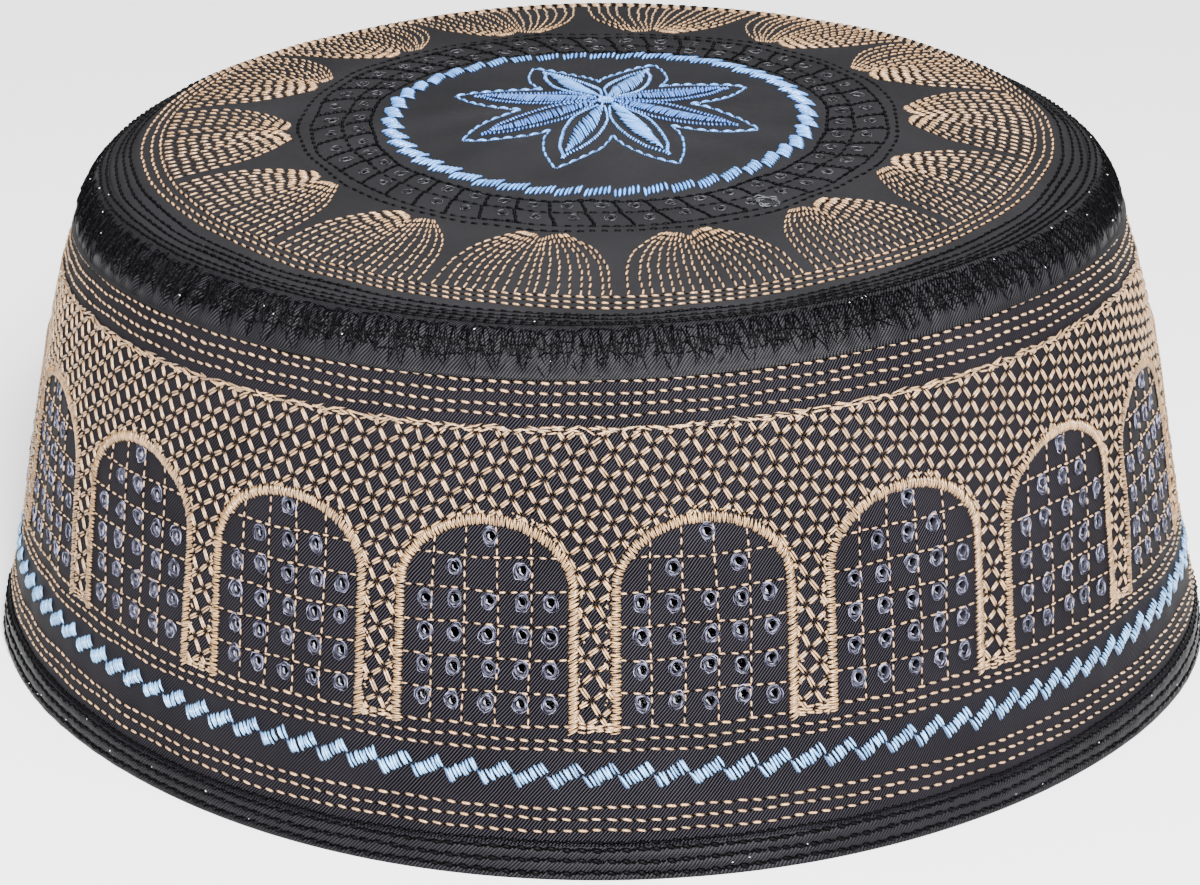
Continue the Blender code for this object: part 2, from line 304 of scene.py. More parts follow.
# Colours: red, green and blue, linear
TAN = (0.58, 0.345, 0.170)
FAN_TAN = (0.56, 0.320, 0.150)
SATIN_TAN = (0.44, 0.245, 0.098)
TAN_SHADOW = (0.004, 0.0022, 0.0014)
BLACK = (0.0020, 0.0020, 0.0024)
BLACK_SHADOW = (0.0004, 0.0004, 0.0005)
BLUE = (0.125, 0.37, 0.90)
PALE_BLUE = (0.26, 0.55, 0.92)
BLUE_SHADOW = (0.006, 0.018, 0.070)
# Painted shade: a darker copy of BLUE for the side petals, where their threads show less sheen
SHADED_BLUE = (0.070, 0.21, 0.62)
LILAC = (0.27, 0.27, 0.40)
LILAC_SHADOW = (0.0016, 0.0015, 0.0024)
# Painted light: a lighter copy of LILAC for the lit lower walls of the band's eyelet holes
LIT_LILAC = (0.62, 0.62, 0.78)
LINT = (0.85, 0.85, 0.85)
# Painted sheen: grey for the crown eyelets' thread, standing in for the glints on black thread
GLINT_GREY = (0.085, 0.085, 0.092)
GREY_SHADOW = (0.002, 0.002, 0.0025)
# Cloth: a dark colour for the twill's valleys and a light one for its ribs, whose contrast is painted
# sheen
CHARCOAL = (0.0002, 0.0002, 0.0003)
CHARCOAL_RIB_SHEEN = (0.0245, 0.0221, 0.0280)
SMOOTH_CHARCOAL = (0.0085, 0.0084, 0.0092)
SMOOTH_CHARCOAL_RIB_SHEEN = (0.0260, 0.0256, 0.0282)
SEAM_BLACK = (0.0002, 0.0002, 0.0003)
SEAM_BLACK_RIB_SHEEN = (0.0165, 0.0161, 0.0184)
HEM_BLACK = (0.0002, 0.0002, 0.0003)
HEM_BLACK_RIB_SHEEN = (0.0150, 0.0142, 0.0170)
INSIDE_BLACK = (0.0030, 0.0030, 0.0032)
INSIDE_BLACK_RIB_SHEEN = (0.0080, 0.0080, 0.0090)
FLOOR = (0.93, 0.93, 0.93)
FLOOR_SHADE = 0.98
FLOOR_HALF = 4.0

# Camera, in millimetres
CAMERA_PLACE = (-0.45, -1159.4, 480.0)
CAMERA_TARGET = (-0.45, 3.15, 33.9)
CAMERA_LENS = 231.6
CAMERA_SENSOR = 36.0

# Light: place and target of each lamp in metres, its size and its power
LAMPS = (
    ("key", (0.12, -1.16, 0.90), (0.0, 0.0, 0.05), 0.34, 140.0),
    ("fill", (-0.9, -0.9, 0.6), (0.0, 0.0, 0.05), 1.0, 3.0),
    ("back", (0.1, 0.9, 0.9), (0.0, 0.0, 0.08), 0.8, 5.0),
)
SKY_STRENGTH = 0.46

draws = np.random.default_rng(17)


# Form of the cap


def between(start, end, share):
    """Value at a share of the way from start to end."""
    return start + share * (end - start)


def distances(points):
    """Distance along a path from its first point to each point."""
    steps = np.linalg.norm(np.diff(points, axis=0), axis=1)
    return np.concatenate([[0.0], np.cumsum(steps)])


def profile_knots():
    """Radius and height of the profile's knots, from the hem to the crown's middle."""
    band = [(between(HEM_RADIUS, TOP_RADIUS, lean), up * BAND_HEIGHT) for up, lean in BAND_PROFILE]
    shoulder = [
        (between(TOP_RADIUS, CROWN_RADIUS, inwards), between(BAND_HEIGHT, CROWN_EDGE_HEIGHT, up))
        for inwards, up in SHOULDER_PROFILE
    ]
    crown = [
        (radius * CROWN_RADIUS, between(CROWN_EDGE_HEIGHT, CROWN_CENTRE_HEIGHT, up))
        for radius, up in CROWN_PROFILE
    ]
    return np.array(band + shoulder + crown)


def smooth_profile(knots, steps=24):
    """Points on a smooth curve through the knots, level where it crosses the axis."""
    before = 2 * knots[0] - knots[1]
    after = knots[-2] * (-1, 1)
    points = np.vstack([before, knots, after])
    gaps = (np.linalg.norm(np.diff(points, axis=0), axis=1) * MM) ** 0.5
    slopes = [
        (points[i] - points[i - 1]) / gaps[i - 1]
        - (points[i + 1] - points[i - 1]) / (gaps[i - 1] + gaps[i])
        + (points[i + 1] - points[i]) / gaps[i]
        for i in range(1, len(points) - 1)
    ]
    curve = []
    for i in range(len(knots) - 1):
        length = gaps[i + 1]
        for t in np.arange(steps) / steps:
            curve.append(
                (2 * t**3 - 3 * t**2 + 1) * knots[i]
                + (t**3 - 2 * t**2 + t) * length * slopes[i]
                + (3 * t**2 - 2 * t**3) * knots[i + 1]
                + (t**3 - t**2) * length * slopes[i + 1]
            )
    return np.array(curve + [knots[-1]])


PROFILE = smooth_profile(profile_knots())
PROFILE_ALONG = distances(PROFILE)
LENGTH = PROFILE_ALONG[-1]
RISING = PROFILE[:, 1] <= CROWN_EDGE_HEIGHT


def along_at_height(height):
    """Distance up the side band at which the profile has this height."""
    return np.interp(height, PROFILE[RISING, 1], PROFILE_ALONG[RISING])


def along_at_radius(radius):
    """Distance over the crown at which the profile has this radius."""
    return np.interp(-np.asarray(radius), -PROFILE[:, 0], PROFILE_ALONG)


BAND_END = float(along_at_height(BAND_HEIGHT))
SEAM_END = float(along_at_radius(SEAM_TOP_RADIUS))
SEAM_SPAN = SEAM_END - BAND_END


def waves(table, theta, column):
    """Sum of a table's waves round the cap, from a pair of its columns."""
    total = np.zeros_like(theta)
    for row in table:
        total += row[column] * np.cos(row[0] * theta)
        total += row[column + 1] * np.sin(row[0] * theta)
    return total


def eased(share):
    """A share that starts and ends gently."""
    share = np.clip(share, 0.0, 1.0)
    return share * share * (3.0 - 2.0 * share)


def outer_surface(along, theta):
    """Radius and height of the outer surface, with the cap's uneven plan and sag."""
    radius = np.interp(along, PROFILE_ALONG, PROFILE[:, 0])
    height = np.interp(along, PROFILE_ALONG, PROFILE[:, 1])
    on_side = along <= BAND_END
    up = np.clip(height / BAND_HEIGHT, 0.0, 1.0)
    past = eased((TOP_RADIUS - radius) / (TOP_RADIUS - CROWN_RADIUS))
    share = np.clip(radius / CROWN_RADIUS, 0.0, 1.0)
    hem = np.where(on_side, 1.0 - up, 0.0)
    top = np.where(on_side, up, 1.0 - past)
    crown = np.where(on_side, 0.0, past)
    low = hem * eased(height / LIFT_START)
    plan = hem * waves(PLAN_WAVES, theta, 1) + top * waves(PLAN_WAVES, theta, 3)
    plan += crown * share**2 * waves(PLAN_WAVES, theta, 5)
    lift = low * waves(LIFT_WAVES, theta, 1) + top * waves(LIFT_WAVES, theta, 3)
    lift += crown * share * waves(LIFT_WAVES, theta, 5)
    return radius * (1.0 + plan), height + LIFT * lift


def uncentred(along, out, theta):
    """Points at a height over the outer surface, before the plan is centred, in mm."""
    reach = 0.4
    radius, height = outer_surface(along, theta)
    radius_on, height_on = outer_surface(np.minimum(along + reach, LENGTH), theta)
    radius_back, height_back = outer_surface(np.maximum(along - reach, 0.0), theta)
    step_out, step_up = radius_on - radius_back, height_on - height_back
    size = np.hypot(step_out, step_up)
    radius = radius + out * step_up / size
    height = np.where(along > 0.0, height - out * step_out / size, 0.0)
    return np.column_stack([radius * np.sin(theta), -radius * np.cos(theta), height])


def plan_shift():
    """The sideways move that centres the cap's footprint, read from the frame."""
    theta = np.linspace(-math.pi, math.pi, 97)
    widest = 0.16 * BINDING_HEIGHT
    ring = uncentred(np.full_like(theta, widest), BINDING_BULGE, theta)
    low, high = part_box("hem_binding")
    middle = (ring.min(axis=0) + ring.max(axis=0)) / 2.0
    return np.array([(low.x + high.x) / 2.0 / MM, (low.y + high.y) / 2.0 / MM, middle[2]]) - middle


SHIFT = plan_shift()


def skin(along, out, theta):
    """Points at a height over the cap's outer surface, in metres."""
    return (uncentred(along, out, theta) + SHIFT) * MM


def girth_table():
    """Distance round the band at PITCH_HEIGHT, from its front, against the angle."""
    theta = np.linspace(-TURN, TURN, 14401)
    ring = uncentred(np.full_like(theta, along_at_height(PITCH_HEIGHT)), 0.0, theta)
    round_it = distances(ring)
    return theta, round_it - np.interp(0.0, theta, round_it), round_it[-1] / 2.0


GIRTH_THETA, GIRTH_ROUND, GIRTH = girth_table()
ARCH_PITCH = GIRTH / ARCHES
PIERS = np.arange(ARCHES) - ARCHES // 2
PIER_CENTRES = FIRST_PIER + ARCH_PITCH * PIERS
ARCH_CENTRES = FIRST_PIER + ARCH_PITCH * (PIERS + 0.5)
ROUND_START = PIER_CENTRES[0]
ROUND_END = ROUND_START + GIRTH


def theta_at(round_it):
    """Angle at which the distance round the band has this value."""
    return np.interp(round_it, GIRTH_ROUND, GIRTH_THETA)


def round_wave(x, count, phase=0.0):
    """A number of even waves round the cap."""
    return np.sin(TURN * count * x / GIRTH + phase)


def band_relief(x, y):
    """Slow swells of the quilted cloth, fading out at its edges."""
    turn = TURN * x / GIRTH
    swell = 0.09 * np.sin(9 * turn + 0.13 * y) + 0.07 * np.sin(23 * turn - 0.21 * y + 1.3)
    swell += 0.06 * np.sin(41 * turn + 0.30 * y + 0.4) + 0.05 * np.sin(67 * turn + 2.0)
    return swell * eased((y - 6.0) / 4.0) * eased((BAND_HEIGHT - y) / 4.0)


def roll_relief(x, y):
    """Bulge and small gathers of the seam roll."""
    share = np.clip(y / SEAM_SPAN, 0.0, 1.0)
    drift = x + 1.1 * round_wave(x, 13) + 0.7 * round_wave(x, 29) + 0.9 * share * round_wave(x, 59)
    pleat = np.abs(np.sin(math.pi * PLEATS * drift / GIRTH)) ** 0.6
    uneven = 0.75 + 0.25 * round_wave(x, 7, 1.0)
    gather = 1.25 * uneven * (pleat - 0.65) * np.sin(math.pi * np.clip(share * 1.28, 0.0, 1.0) ** 0.6)
    return SEAM_BULGE * np.sin(math.pi * np.clip(share, 0.02, 0.98)) ** 0.6 + gather - 0.1


def binding_relief(x, y):
    """Puffs of the folded hem between its rows of stitches."""
    row_gap = HEM_ROWS[1] - HEM_ROWS[0]
    puff = 0.36 * np.abs(np.sin(math.pi * (y - HEM_ROWS[0]) / row_gap)) ** 0.8
    wave = 0.06 * round_wave(x, 97) + 0.10 * round_wave(x, 11, 0.8) + 0.08 * round_wave(x, 19)
    return BINDING_BULGE - 0.32 + puff + wave


def crown_relief(x, y):
    """Faint puckers of the crown, and the valley that each ring of stitches pulls."""
    radius, theta = np.hypot(x, y), np.arctan2(x, -y)
    pucker = 0.10 * np.sin(7 * theta + 0.05 * radius) + 0.07 * np.sin(17 * theta - 0.11 * radius)
    pucker += 0.05 * np.sin(0.55 * y + 0.9 * np.sin(0.13 * x)) * eased((34.0 - radius) / 6.0)
    for ring in BLACK_RINGS + GRID_RINGS:
        pucker = pucker - VALLEY_DEPTH * np.exp(-(((radius - ring) / VALLEY_REACH) ** 2))
    return pucker * eased(radius / 8.0) * eased((SEAM_TOP_RADIUS - radius) / 1.5)


def on_band(spots, out):
    """Lays flat points on the side band."""
    x, y = spots.T
    return skin(along_at_height(y), out + band_relief(x, y), theta_at(x))


def on_roll(spots, out):
    """Lays flat points on the seam roll."""
    x, y = spots.T
    return skin(BAND_END + y, out + roll_relief(x, y), theta_at(x))


def on_binding(spots, out):
    """Lays flat points on the hem binding."""
    x, y = spots.T
    return skin(np.maximum(y, 0.05), out + binding_relief(x, y), theta_at(x))


def on_crown(spots, out):
    """Lays flat points on the crown."""
    x, y = spots.T
    return skin(along_at_radius(np.hypot(x, y)), out + crown_relief(x, y), np.arctan2(x, -y))


def polar(radius, theta):
    """Crown pattern points from radii and angles."""
    radius, theta = np.broadcast_arrays(radius, theta)
    return np.column_stack([np.ravel(radius * np.sin(theta)), np.ravel(-radius * np.cos(theta))])


# Meshes


def put(name, data):
    """Puts a new object of some data in the scene."""
    made = bpy.data.objects.new(name, data)
    bpy.context.scene.collection.objects.link(made)
    return made


def show(name, mesh, materials):
    """Puts a mesh in the scene as a piece that rides with the cap."""
    mesh.shade_smooth()
    for material in materials:
        mesh.materials.append(material)
    piece = put(name, mesh)
    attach(piece, "root")
    return piece


def joined(name, points, faces, values, material):
    """One mesh of many copies of a small form: points is copies by corners by 3."""
    copies, corners = points.shape[:2]
    first = points[0]
    volume = sum(
        np.dot(first[face[0]], np.cross(first[face[i]], first[face[i + 1]]))
        for face in faces
        for i in range(1, len(face) - 1)
    )
    if volume < 0.0:
        faces = [face[::-1] for face in faces]
    flat = np.concatenate(faces)
    loops = (flat[None, :] + corners * np.arange(copies)[:, None]).ravel()
    sides = np.tile([len(face) for face in faces], copies)
    starts = np.concatenate([[0], np.cumsum(sides)[:-1]])
    mesh = bpy.data.meshes.new(name)
    mesh.vertices.add(copies * corners)
    mesh.vertices.foreach_set("co", points.astype(np.float32).ravel())
    mesh.loops.add(len(loops))
    mesh.loops.foreach_set("vertex_index", loops.astype(np.int32))
    mesh.polygons.add(len(starts))
    mesh.polygons.foreach_set("loop_start", starts.astype(np.int32))
    mesh.update(calc_edges=True)
    for key, numbers in values.items():
        attribute = mesh.attributes.new(key, "FLOAT", "POINT")
        attribute.data.foreach_set("value", np.ravel(numbers).astype(np.float32))
    return show(name, mesh, [material])


def places_of(bm):
    """Places of a bmesh's corners, in order."""
    bm.verts.index_update()
    return np.array([vertex.co[:] for vertex in bm.verts])


def taken(bm):
    """Corners and faces of a small form, whose bmesh is freed."""
    spots = places_of(bm)
    faces = [[vertex.index for vertex in face.verts] for face in bm.faces]
    bm.free()
    return spots, faces


def outlined(bm, places, closed):
    """Joins new corners into a line, closed or open."""
    corners = [bm.verts.new(place) for place in places]
    nexts = corners[1:] + corners[:1] if closed else corners[1:]
    for first, second in zip(corners, nexts):
        bm.edges.new((first, second))


def spin(bm, steps):
    """Spins a bmesh's lines once round the upright axis."""
    bmesh.ops.spin(
        bm,
        geom=bm.verts[:] + bm.edges[:],
        axis=(0.0, 0.0, 1.0),
        cent=(0.0, 0.0, 0.0),
        angle=TURN,
        steps=steps,
        use_merge=True,
    )


def blank_stitch(sides, bands):
    """A plump stitch: along from 0 to 1, across and up from -1 to 1, and its faces."""
    bm = bmesh.new()
    bmesh.ops.create_uvsphere(bm, u_segments=sides, v_segments=bands, radius=1.0)
    spots, faces = taken(bm)
    x, y, z = spots.T
    ring = np.hypot(x, y)
    plump = np.where(ring > 0.01, np.maximum(ring, 0.01) ** -0.4, 0.0)
    tilt = math.radians(90.0 if sides % 2 else 0.0)
    across = x * math.cos(tilt) - y * math.sin(tilt)
    up = x * math.sin(tilt) + y * math.cos(tilt)
    return np.column_stack([0.5 + 0.5 * z, across * plump, up * plump]), faces


FINE_STITCH = blank_stitch(4, 4)
SHORT_STITCH = blank_stitch(4, 3)
PLAIN_STITCH = blank_stitch(3, 3)
SUNK_THREAD = blank_stitch(3, 2)


def jitter(size, *shape):
    """Small random offsets."""
    return draws.uniform(-size, size, shape)


def beside(way):
    """Unit vectors square to flat steps, and the steps' lengths."""
    length = np.maximum(np.linalg.norm(way, axis=1), 0.01)
    return np.column_stack([-way[:, 1], way[:, 0]]) / length[:, None], length


class Stitches:
    """Gathers stitches, each from a start to an end on a flat pattern."""

    def __init__(self):
        """Starts with no stitches."""
        self.rows = []

    def lay(self, start, end, wide, high, out, dip, size=1.0, bow=0.0, tone=1.0,
            stray=0.0, spread=None, lift=0.0, bend=0.0, tones=None):
        """Adds stitches, whose width and thickness are scaled by size.

        The last five say how much their ends, width, height, bow and tone vary.
        """
        start, end = np.atleast_2d(start), np.atleast_2d(end)
        count = len(start)
        if stray:
            start = start + jitter(stray, count, 2)
            end = end + jitter(stray, count, 2)
        wide, high = wide * size, high * size
        if spread:
            wide = wide * draws.uniform(*spread, count)
        if lift:
            out = out + jitter(lift, count)
        if bend:
            bow = bow + jitter(bend, count)
        if tones:
            tone = tone * draws.uniform(*tones, count)
        columns = [np.broadcast_to(value, count) for value in (wide, high, out, dip, bow, tone)]
        self.rows.append(np.column_stack([start, end] + columns))

    def sew(self, name, place, blank, material):
        """Makes one piece of every stitch gathered."""
        rows = np.concatenate(self.rows)
        spots, faces = blank
        along, across, up = spots.T
        wide, high, out, dip, bow, tone = rows[:, 4:].T[:, :, None]
        way = rows[:, 2:4] - rows[:, 0:2]
        side, length = beside(way)
        hump = 4.0 * along * (1.0 - along)
        sideways = across * wide / 2.0 + bow * hump
        flat = rows[:, None, 0:2] + way[:, None, :] * along[None, :, None]
        flat = flat + side[:, None, :] * sideways[:, :, None]
        above = out + up * high / 2.0 + dip * (hump - 1.0)
        points = place(flat.reshape(-1, 2), above.ravel())
        # The tone carries painted shade: each stitch darker towards its ends and its sides
        values = {
            "tone": tone * (1.0 - END_SHADE * (1.0 - hump) ** 1.5) * (1.0 - SIDE_SHADE * np.abs(across)),
            "run": along * length[:, None],
            "ply": across * np.ones_like(tone),
        }
        return joined(name, points.reshape(len(rows), -1, 3), faces, values, material)


def points_at(places, run, path):
    """Flat points at distances along a path, from the distances of its own points."""
    return np.column_stack([np.interp(places, run, path[:, i]) for i in (0, 1)])


def running_line(top, under, path, stitch):
    """Running stitches along a path of flat points, with the thread seen between drawn in its shadow
    colour as painted shade.
    """
    pitch, dash, wide, slant = stitch
    run = distances(path)
    count = max(int(round(run[-1] / pitch)), 1)
    step = run[-1] / count
    begin = step * np.arange(count) + jitter(RUN_START_STRAY * pitch, count)
    finish = begin + dash * step / pitch + jitter(RUN_END_STRAY * pitch, count)
    start, end = points_at(begin, run, path), points_at(finish, run, path)
    side = beside(end - start)[0]
    lean = slant + jitter(RUN_LEAN_STRAY, count)
    wander = jitter(RUN_WANDER, count)
    start = start + side * (wander + lean)[:, None]
    end = end + side * (wander - lean)[:, None]
    top.lay(start, end, size=wide, **RUN_TOP)
    sunk = points_at(finish - RUN_LAP, run, path)
    risen = points_at(begin + step + RUN_LAP, run, path)
    under.lay(sunk, risen, size=wide, **RUN_GAP)


def round_path(height, waves_round, phase, reach=0.12):
    """Flat path round the cap at a height, straying in even waves."""
    x = np.linspace(ROUND_START, ROUND_END, 1500)
    return np.column_stack([x, height + reach * round_wave(x, waves_round, phase)])


def ring_path(height, reach=0.12):
    """Flat path round the band at a height, straying a little."""
    phase = height * 1.7
    path = round_path(height, 15, phase, reach)
    path[:, 1] += 0.7 * reach * round_wave(path[:, 0], 37, 2 * phase)
    return path


def places_round(count, stray):
    """Uneven places round the cap."""
    return ROUND_START + GIRTH * np.arange(count) / count + jitter(stray, count)


def level(x, height, stray):
    """Flat points at these places round the cap and an uneven height."""
    return np.column_stack([x, height + jitter(stray, len(x))])


def inside_arch(x, y, inset):
    """Whether flat points of the band lie inside an arch's outline, less an inset."""
    off = np.abs((x - FIRST_PIER) % ARCH_PITCH - ARCH_PITCH / 2.0)
    half, rise = ARCH_HALF_WIDTH - inset, ARCH_RISE - inset
    bow = (off / half) ** 2 + (np.maximum(y - ARCH_SPRING, 0.0) / rise) ** 2
    return (bow < 1.0) & (y > ARCH_FOOT - 1.0)


# Materials


def place_node(tree, kind, sockets=(), **properties):
    """Adds a node, with its properties and the values or links of its input sockets."""
    made = tree.nodes.new(kind)
    for key, value in properties.items():
        setattr(made, key, value)
    for key, value in dict(sockets).items():
        if isinstance(value, bpy.types.NodeSocket):
            tree.links.new(value, made.inputs[key])
        else:
            made.inputs[key].default_value = value
    return made


def maths(tree, operation, first, second=0.0, third=0.0):
    """Output of a Math node."""
    sockets = {0: first, 1: second, 2: third}
    return place_node(tree, "ShaderNodeMath", sockets, operation=operation).outputs[0]


def scaled(tree, value, factor, added):
    """Output of a value times a factor, with something added."""
    return maths(tree, "MULTIPLY_ADD", value, factor, added)


def wave_of(tree, turns):
    """Output of a sine that runs once for each unit of its input."""
    return maths(tree, "SINE", maths(tree, "MULTIPLY", turns, TURN))


def noise(tree, spots, scale, detail=2.0):
    """Output of a noise texture."""
    sockets = {"Vector": spots, "Scale": scale, "Detail": detail}
    return place_node(tree, "ShaderNodeTexNoise", sockets).outputs[0]


def object_spots(tree):
    """Output of the piece's own coordinates, in metres."""
    return place_node(tree, "ShaderNodeTexCoord").outputs["Object"]


def mixed(tree, share, first, second):
    """Output of a mix of two colours."""
    sockets = {0: share, 6: (*first, 1.0), 7: (*second, 1.0)}
    return place_node(tree, "ShaderNodeMix", sockets, data_type="RGBA").outputs[2]


def new_group(name, vectors, floats, outputs):
    """A node group with sockets of these names, and those sockets as seen inside it."""
    group = bpy.data.node_groups.new(name, "ShaderNodeTree")
    for title in vectors:
        group.interface.new_socket(title, in_out="INPUT", socket_type="NodeSocketVector")
    for title in floats:
        group.interface.new_socket(title, in_out="INPUT", socket_type="NodeSocketFloat")
    for title in outputs:
        group.interface.new_socket(title, in_out="OUTPUT", socket_type="NodeSocketFloat")
    return group, group.nodes.new("NodeGroupInput").outputs, group.nodes.new("NodeGroupOutput").inputs


def twill_group():
    """Node group: slanting ribs of twill, with their small cross threads."""
    group, given, result = new_group("twill_ribs", ["Vector"], ["Across", "Up", "Cross"], ["Rib"])
    parts = place_node(group, "ShaderNodeSeparateXYZ", {"Vector": given["Vector"]})
    x, y = parts.outputs[0], parts.outputs[1]
    slope = maths(group, "MULTIPLY", y, given["Up"])
    place = scaled(group, x, given["Across"], slope)
    place = scaled(group, noise(group, given["Vector"], 0.12), 1.6, place)
    back = maths(group, "MULTIPLY", maths(group, "MULTIPLY", x, given["Up"]), -1.0)
    across = maths(group, "MULTIPLY", scaled(group, y, given["Across"], back), 1.4)
    both = scaled(group, wave_of(group, across), given["Cross"], wave_of(group, place))
    group.links.new(scaled(group, both, 0.36, 0.5), result["Rib"])
    return group


def thread_group():
    """Node group: the thread's tone varied at random along it, with painted shade along its twisted ply,
    and the ply's height.
    """
    group, given, result = new_group("thread_ply", [], ["Plies"], ["Tone", "Height"])
    tone, run, ply = (
        place_node(group, "ShaderNodeAttribute", attribute_name=name).outputs["Fac"]
        for name in ("tone", "run", "ply")
    )
    wound = wave_of(group, scaled(group, run, given["Plies"], ply))
    uneven = scaled(group, noise(group, object_spots(group), 700.0, 1.0), 0.9, -0.45)
    shade = scaled(group, wound, 0.12, tone)
    group.links.new(scaled(group, tone, uneven, shade), result["Tone"])
    group.links.new(wound, result["Height"])
    return group


TWILL = twill_group()
PLY = thread_group()
PLIES = 1.8


def new_material(name, roughness, specular):
    """A Principled material with its constants on its own sockets."""
    material = bpy.data.materials.new(name)
    material.use_nodes = True
    shader = material.node_tree.nodes["Principled BSDF"]
    shader.inputs["Roughness"].default_value = roughness
    shader.inputs["Specular IOR Level"].default_value = specular
    return material, material.node_tree, shader


def bumped(tree, shader, height, strength, distance):
    """Gives a shader its bump, whose distance is in millimetres."""
    sockets = {"Strength": strength, "Distance": distance * MM, "Height": height}
    bump = place_node(tree, "ShaderNodeBump", sockets)
    tree.links.new(bump.outputs[0], shader.inputs["Normal"])


def thread_material(name, colour, shadow, roughness=0.30, specular=0.9):
    """Glossy sewing thread: its shadowed ends and gaps take the shadow colour."""
    material, tree, shader = new_material(name, roughness, specular)
    wound = place_node(tree, "ShaderNodeGroup", node_tree=PLY)
    wound.inputs["Plies"].default_value = PLIES
    tree.links.new(mixed(tree, wound.outputs["Tone"], shadow, colour), shader.inputs["Base Color"])
    bumped(tree, shader, wound.outputs["Height"], 0.35, 0.03)
    return material


def cloth_material(name, dark, light, pitch, slope, cross, ribs, roughness, specular, bump, narrow=0.0):
    """Satin twill: ribs at a slope in degrees, read from the cloth's own flat pattern.

    Each rib mixes the dark colour in its valleys with the light one on its crest: the weave's
    pattern, with painted sheen on the crests and painted shade in the valleys. Ribs is how
    strongly they show, cross how strongly their cross threads do, and narrow makes their
    painted highlights narrower.
    """
    material, tree, shader = new_material(name, roughness, specular)
    flat = place_node(tree, "ShaderNodeUVMap", uv_map="flat").outputs[0]
    spread = place_node(tree, "ShaderNodeVectorMath", {0: flat, "Scale": 1.0 / MM}, operation="SCALE")
    lean = math.radians(slope)
    twill = place_node(tree, "ShaderNodeGroup", node_tree=TWILL)
    tree.links.new(spread.outputs[0], twill.inputs["Vector"])
    twill.inputs["Across"].default_value = -math.sin(lean) / pitch
    twill.inputs["Up"].default_value = math.cos(lean) / pitch
    twill.inputs["Cross"].default_value = cross
    spots = object_spots(tree)
    cloud = noise(tree, spots, 55.0, 3.0)
    share = maths(tree, "MULTIPLY", twill.outputs["Rib"], ribs)
    share = scaled(tree, cloud, 0.60, share)
    share = scaled(tree, noise(tree, spots, 1500.0), 0.30, share)
    share = maths(tree, "SUBTRACT", share, 0.245 + 0.4 * ribs + narrow)
    tree.links.new(mixed(tree, share, dark, light), shader.inputs["Base Color"])
    tree.links.new(scaled(tree, cloud, 0.2, roughness - 0.1), shader.inputs["Roughness"])
    bumped(tree, shader, twill.outputs["Rib"], 0.6, bump)
    return material


TAN_THREAD = thread_material("tan_thread", TAN, TAN_SHADOW)
SATIN_TAN_THREAD = thread_material("tan_satin_thread", SATIN_TAN, TAN_SHADOW)
# Painted shade: thread wholly in the tan's shadow colour, for sunk threads and the lattice's shadow
# threads
SHADOW_AND_GAP_THREAD = thread_material("shadow_and_gap_thread", TAN_SHADOW, TAN_SHADOW, 0.7, 0.02)
FAN_THREAD = thread_material("tan_fan_thread", FAN_TAN, TAN_SHADOW)
BLACK_THREAD = thread_material("black_thread", BLACK, BLACK_SHADOW, 0.40, 0.03)
BLUE_THREAD = thread_material("blue_thread", BLUE, BLUE_SHADOW, 0.30, 0.8)
PALE_BLUE_THREAD = thread_material("pale_blue_thread", PALE_BLUE, BLUE_SHADOW, 0.30, 0.8)
SHADED_BLUE_THREAD = thread_material("shaded_blue_thread", SHADED_BLUE, BLUE_SHADOW, 0.30, 0.8)
LILAC_THREAD = thread_material("lilac_thread", LILAC, LILAC_SHADOW, 0.35, 0.12)
LIT_LILAC_THREAD = thread_material("lit_lilac_thread", LIT_LILAC, LILAC_SHADOW, 0.35, 0.5)
LINT_WHITE = thread_material("white_lint", LINT, LINT, 0.8, 0.1)
GLINT_GREY_THREAD = thread_material("glint_grey_thread", GLINT_GREY, GREY_SHADOW, 0.35, 0.12)
BLACK_TWILL = dict(pitch=0.46, slope=50.0, cross=0.4, ribs=1.7, specular=0.05, bump=0.12)
BAND_CLOTH = cloth_material(
    "charcoal_twill", CHARCOAL, CHARCOAL_RIB_SHEEN, pitch=0.42, slope=50.0, cross=0.30, ribs=2.8,
    roughness=0.50, specular=0.015, bump=0.12, narrow=0.57,
)
CROWN_CLOTH = cloth_material(
    "smooth_charcoal_twill", SMOOTH_CHARCOAL, SMOOTH_CHARCOAL_RIB_SHEEN, pitch=0.40, slope=52.0,
    cross=0.35, ribs=0.45, roughness=0.60, specular=0.01, bump=0.03,
)
ROLL_CLOTH = cloth_material(
    "black_gathered_twill", SEAM_BLACK, SEAM_BLACK_RIB_SHEEN, roughness=0.42, **BLACK_TWILL
)
HEM_CLOTH = cloth_material("black_hem_twill", HEM_BLACK, HEM_BLACK_RIB_SHEEN, roughness=0.45, **BLACK_TWILL)
INSIDE_CLOTH = cloth_material(
    "black_inside_twill", INSIDE_BLACK, INSIDE_BLACK_RIB_SHEEN, pitch=0.50, slope=50.0, cross=0.4,
    ribs=0.7, roughness=0.75, specular=0.02, bump=0.05,
)


# Cloth pieces


def set_flat(bm, spots):
    """Stores each corner's flat place, in metres, as the cloth's UV map."""
    layer = bm.loops.layers.uv.new("flat")
    for face in bm.faces:
        for loop in face.loops:
            x, y = spots[loop.vert.index]
            loop[layer].uv = (x * MM, y * MM)


def set_turned_flat(bm, x, along):
    """Stores the distance round and up as the UV map of a turned piece."""
    layer = bm.loops.layers.uv.new("flat")
    for face in bm.faces:
        places = [x[loop.vert.index] for loop in face.loops]
        wraps = max(places) - min(places) > GIRTH / 2.0
        for loop, place in zip(face.loops, places):
            place = place + GIRTH if wraps and place < 0.0 else place
            loop[layer].uv = (place * MM, along[loop.vert.index] * MM)


def move_to(bm, points):
    """Moves a bmesh's corners to new places, in order."""
    for vertex, place in zip(bm.verts, points):
        vertex.co = place


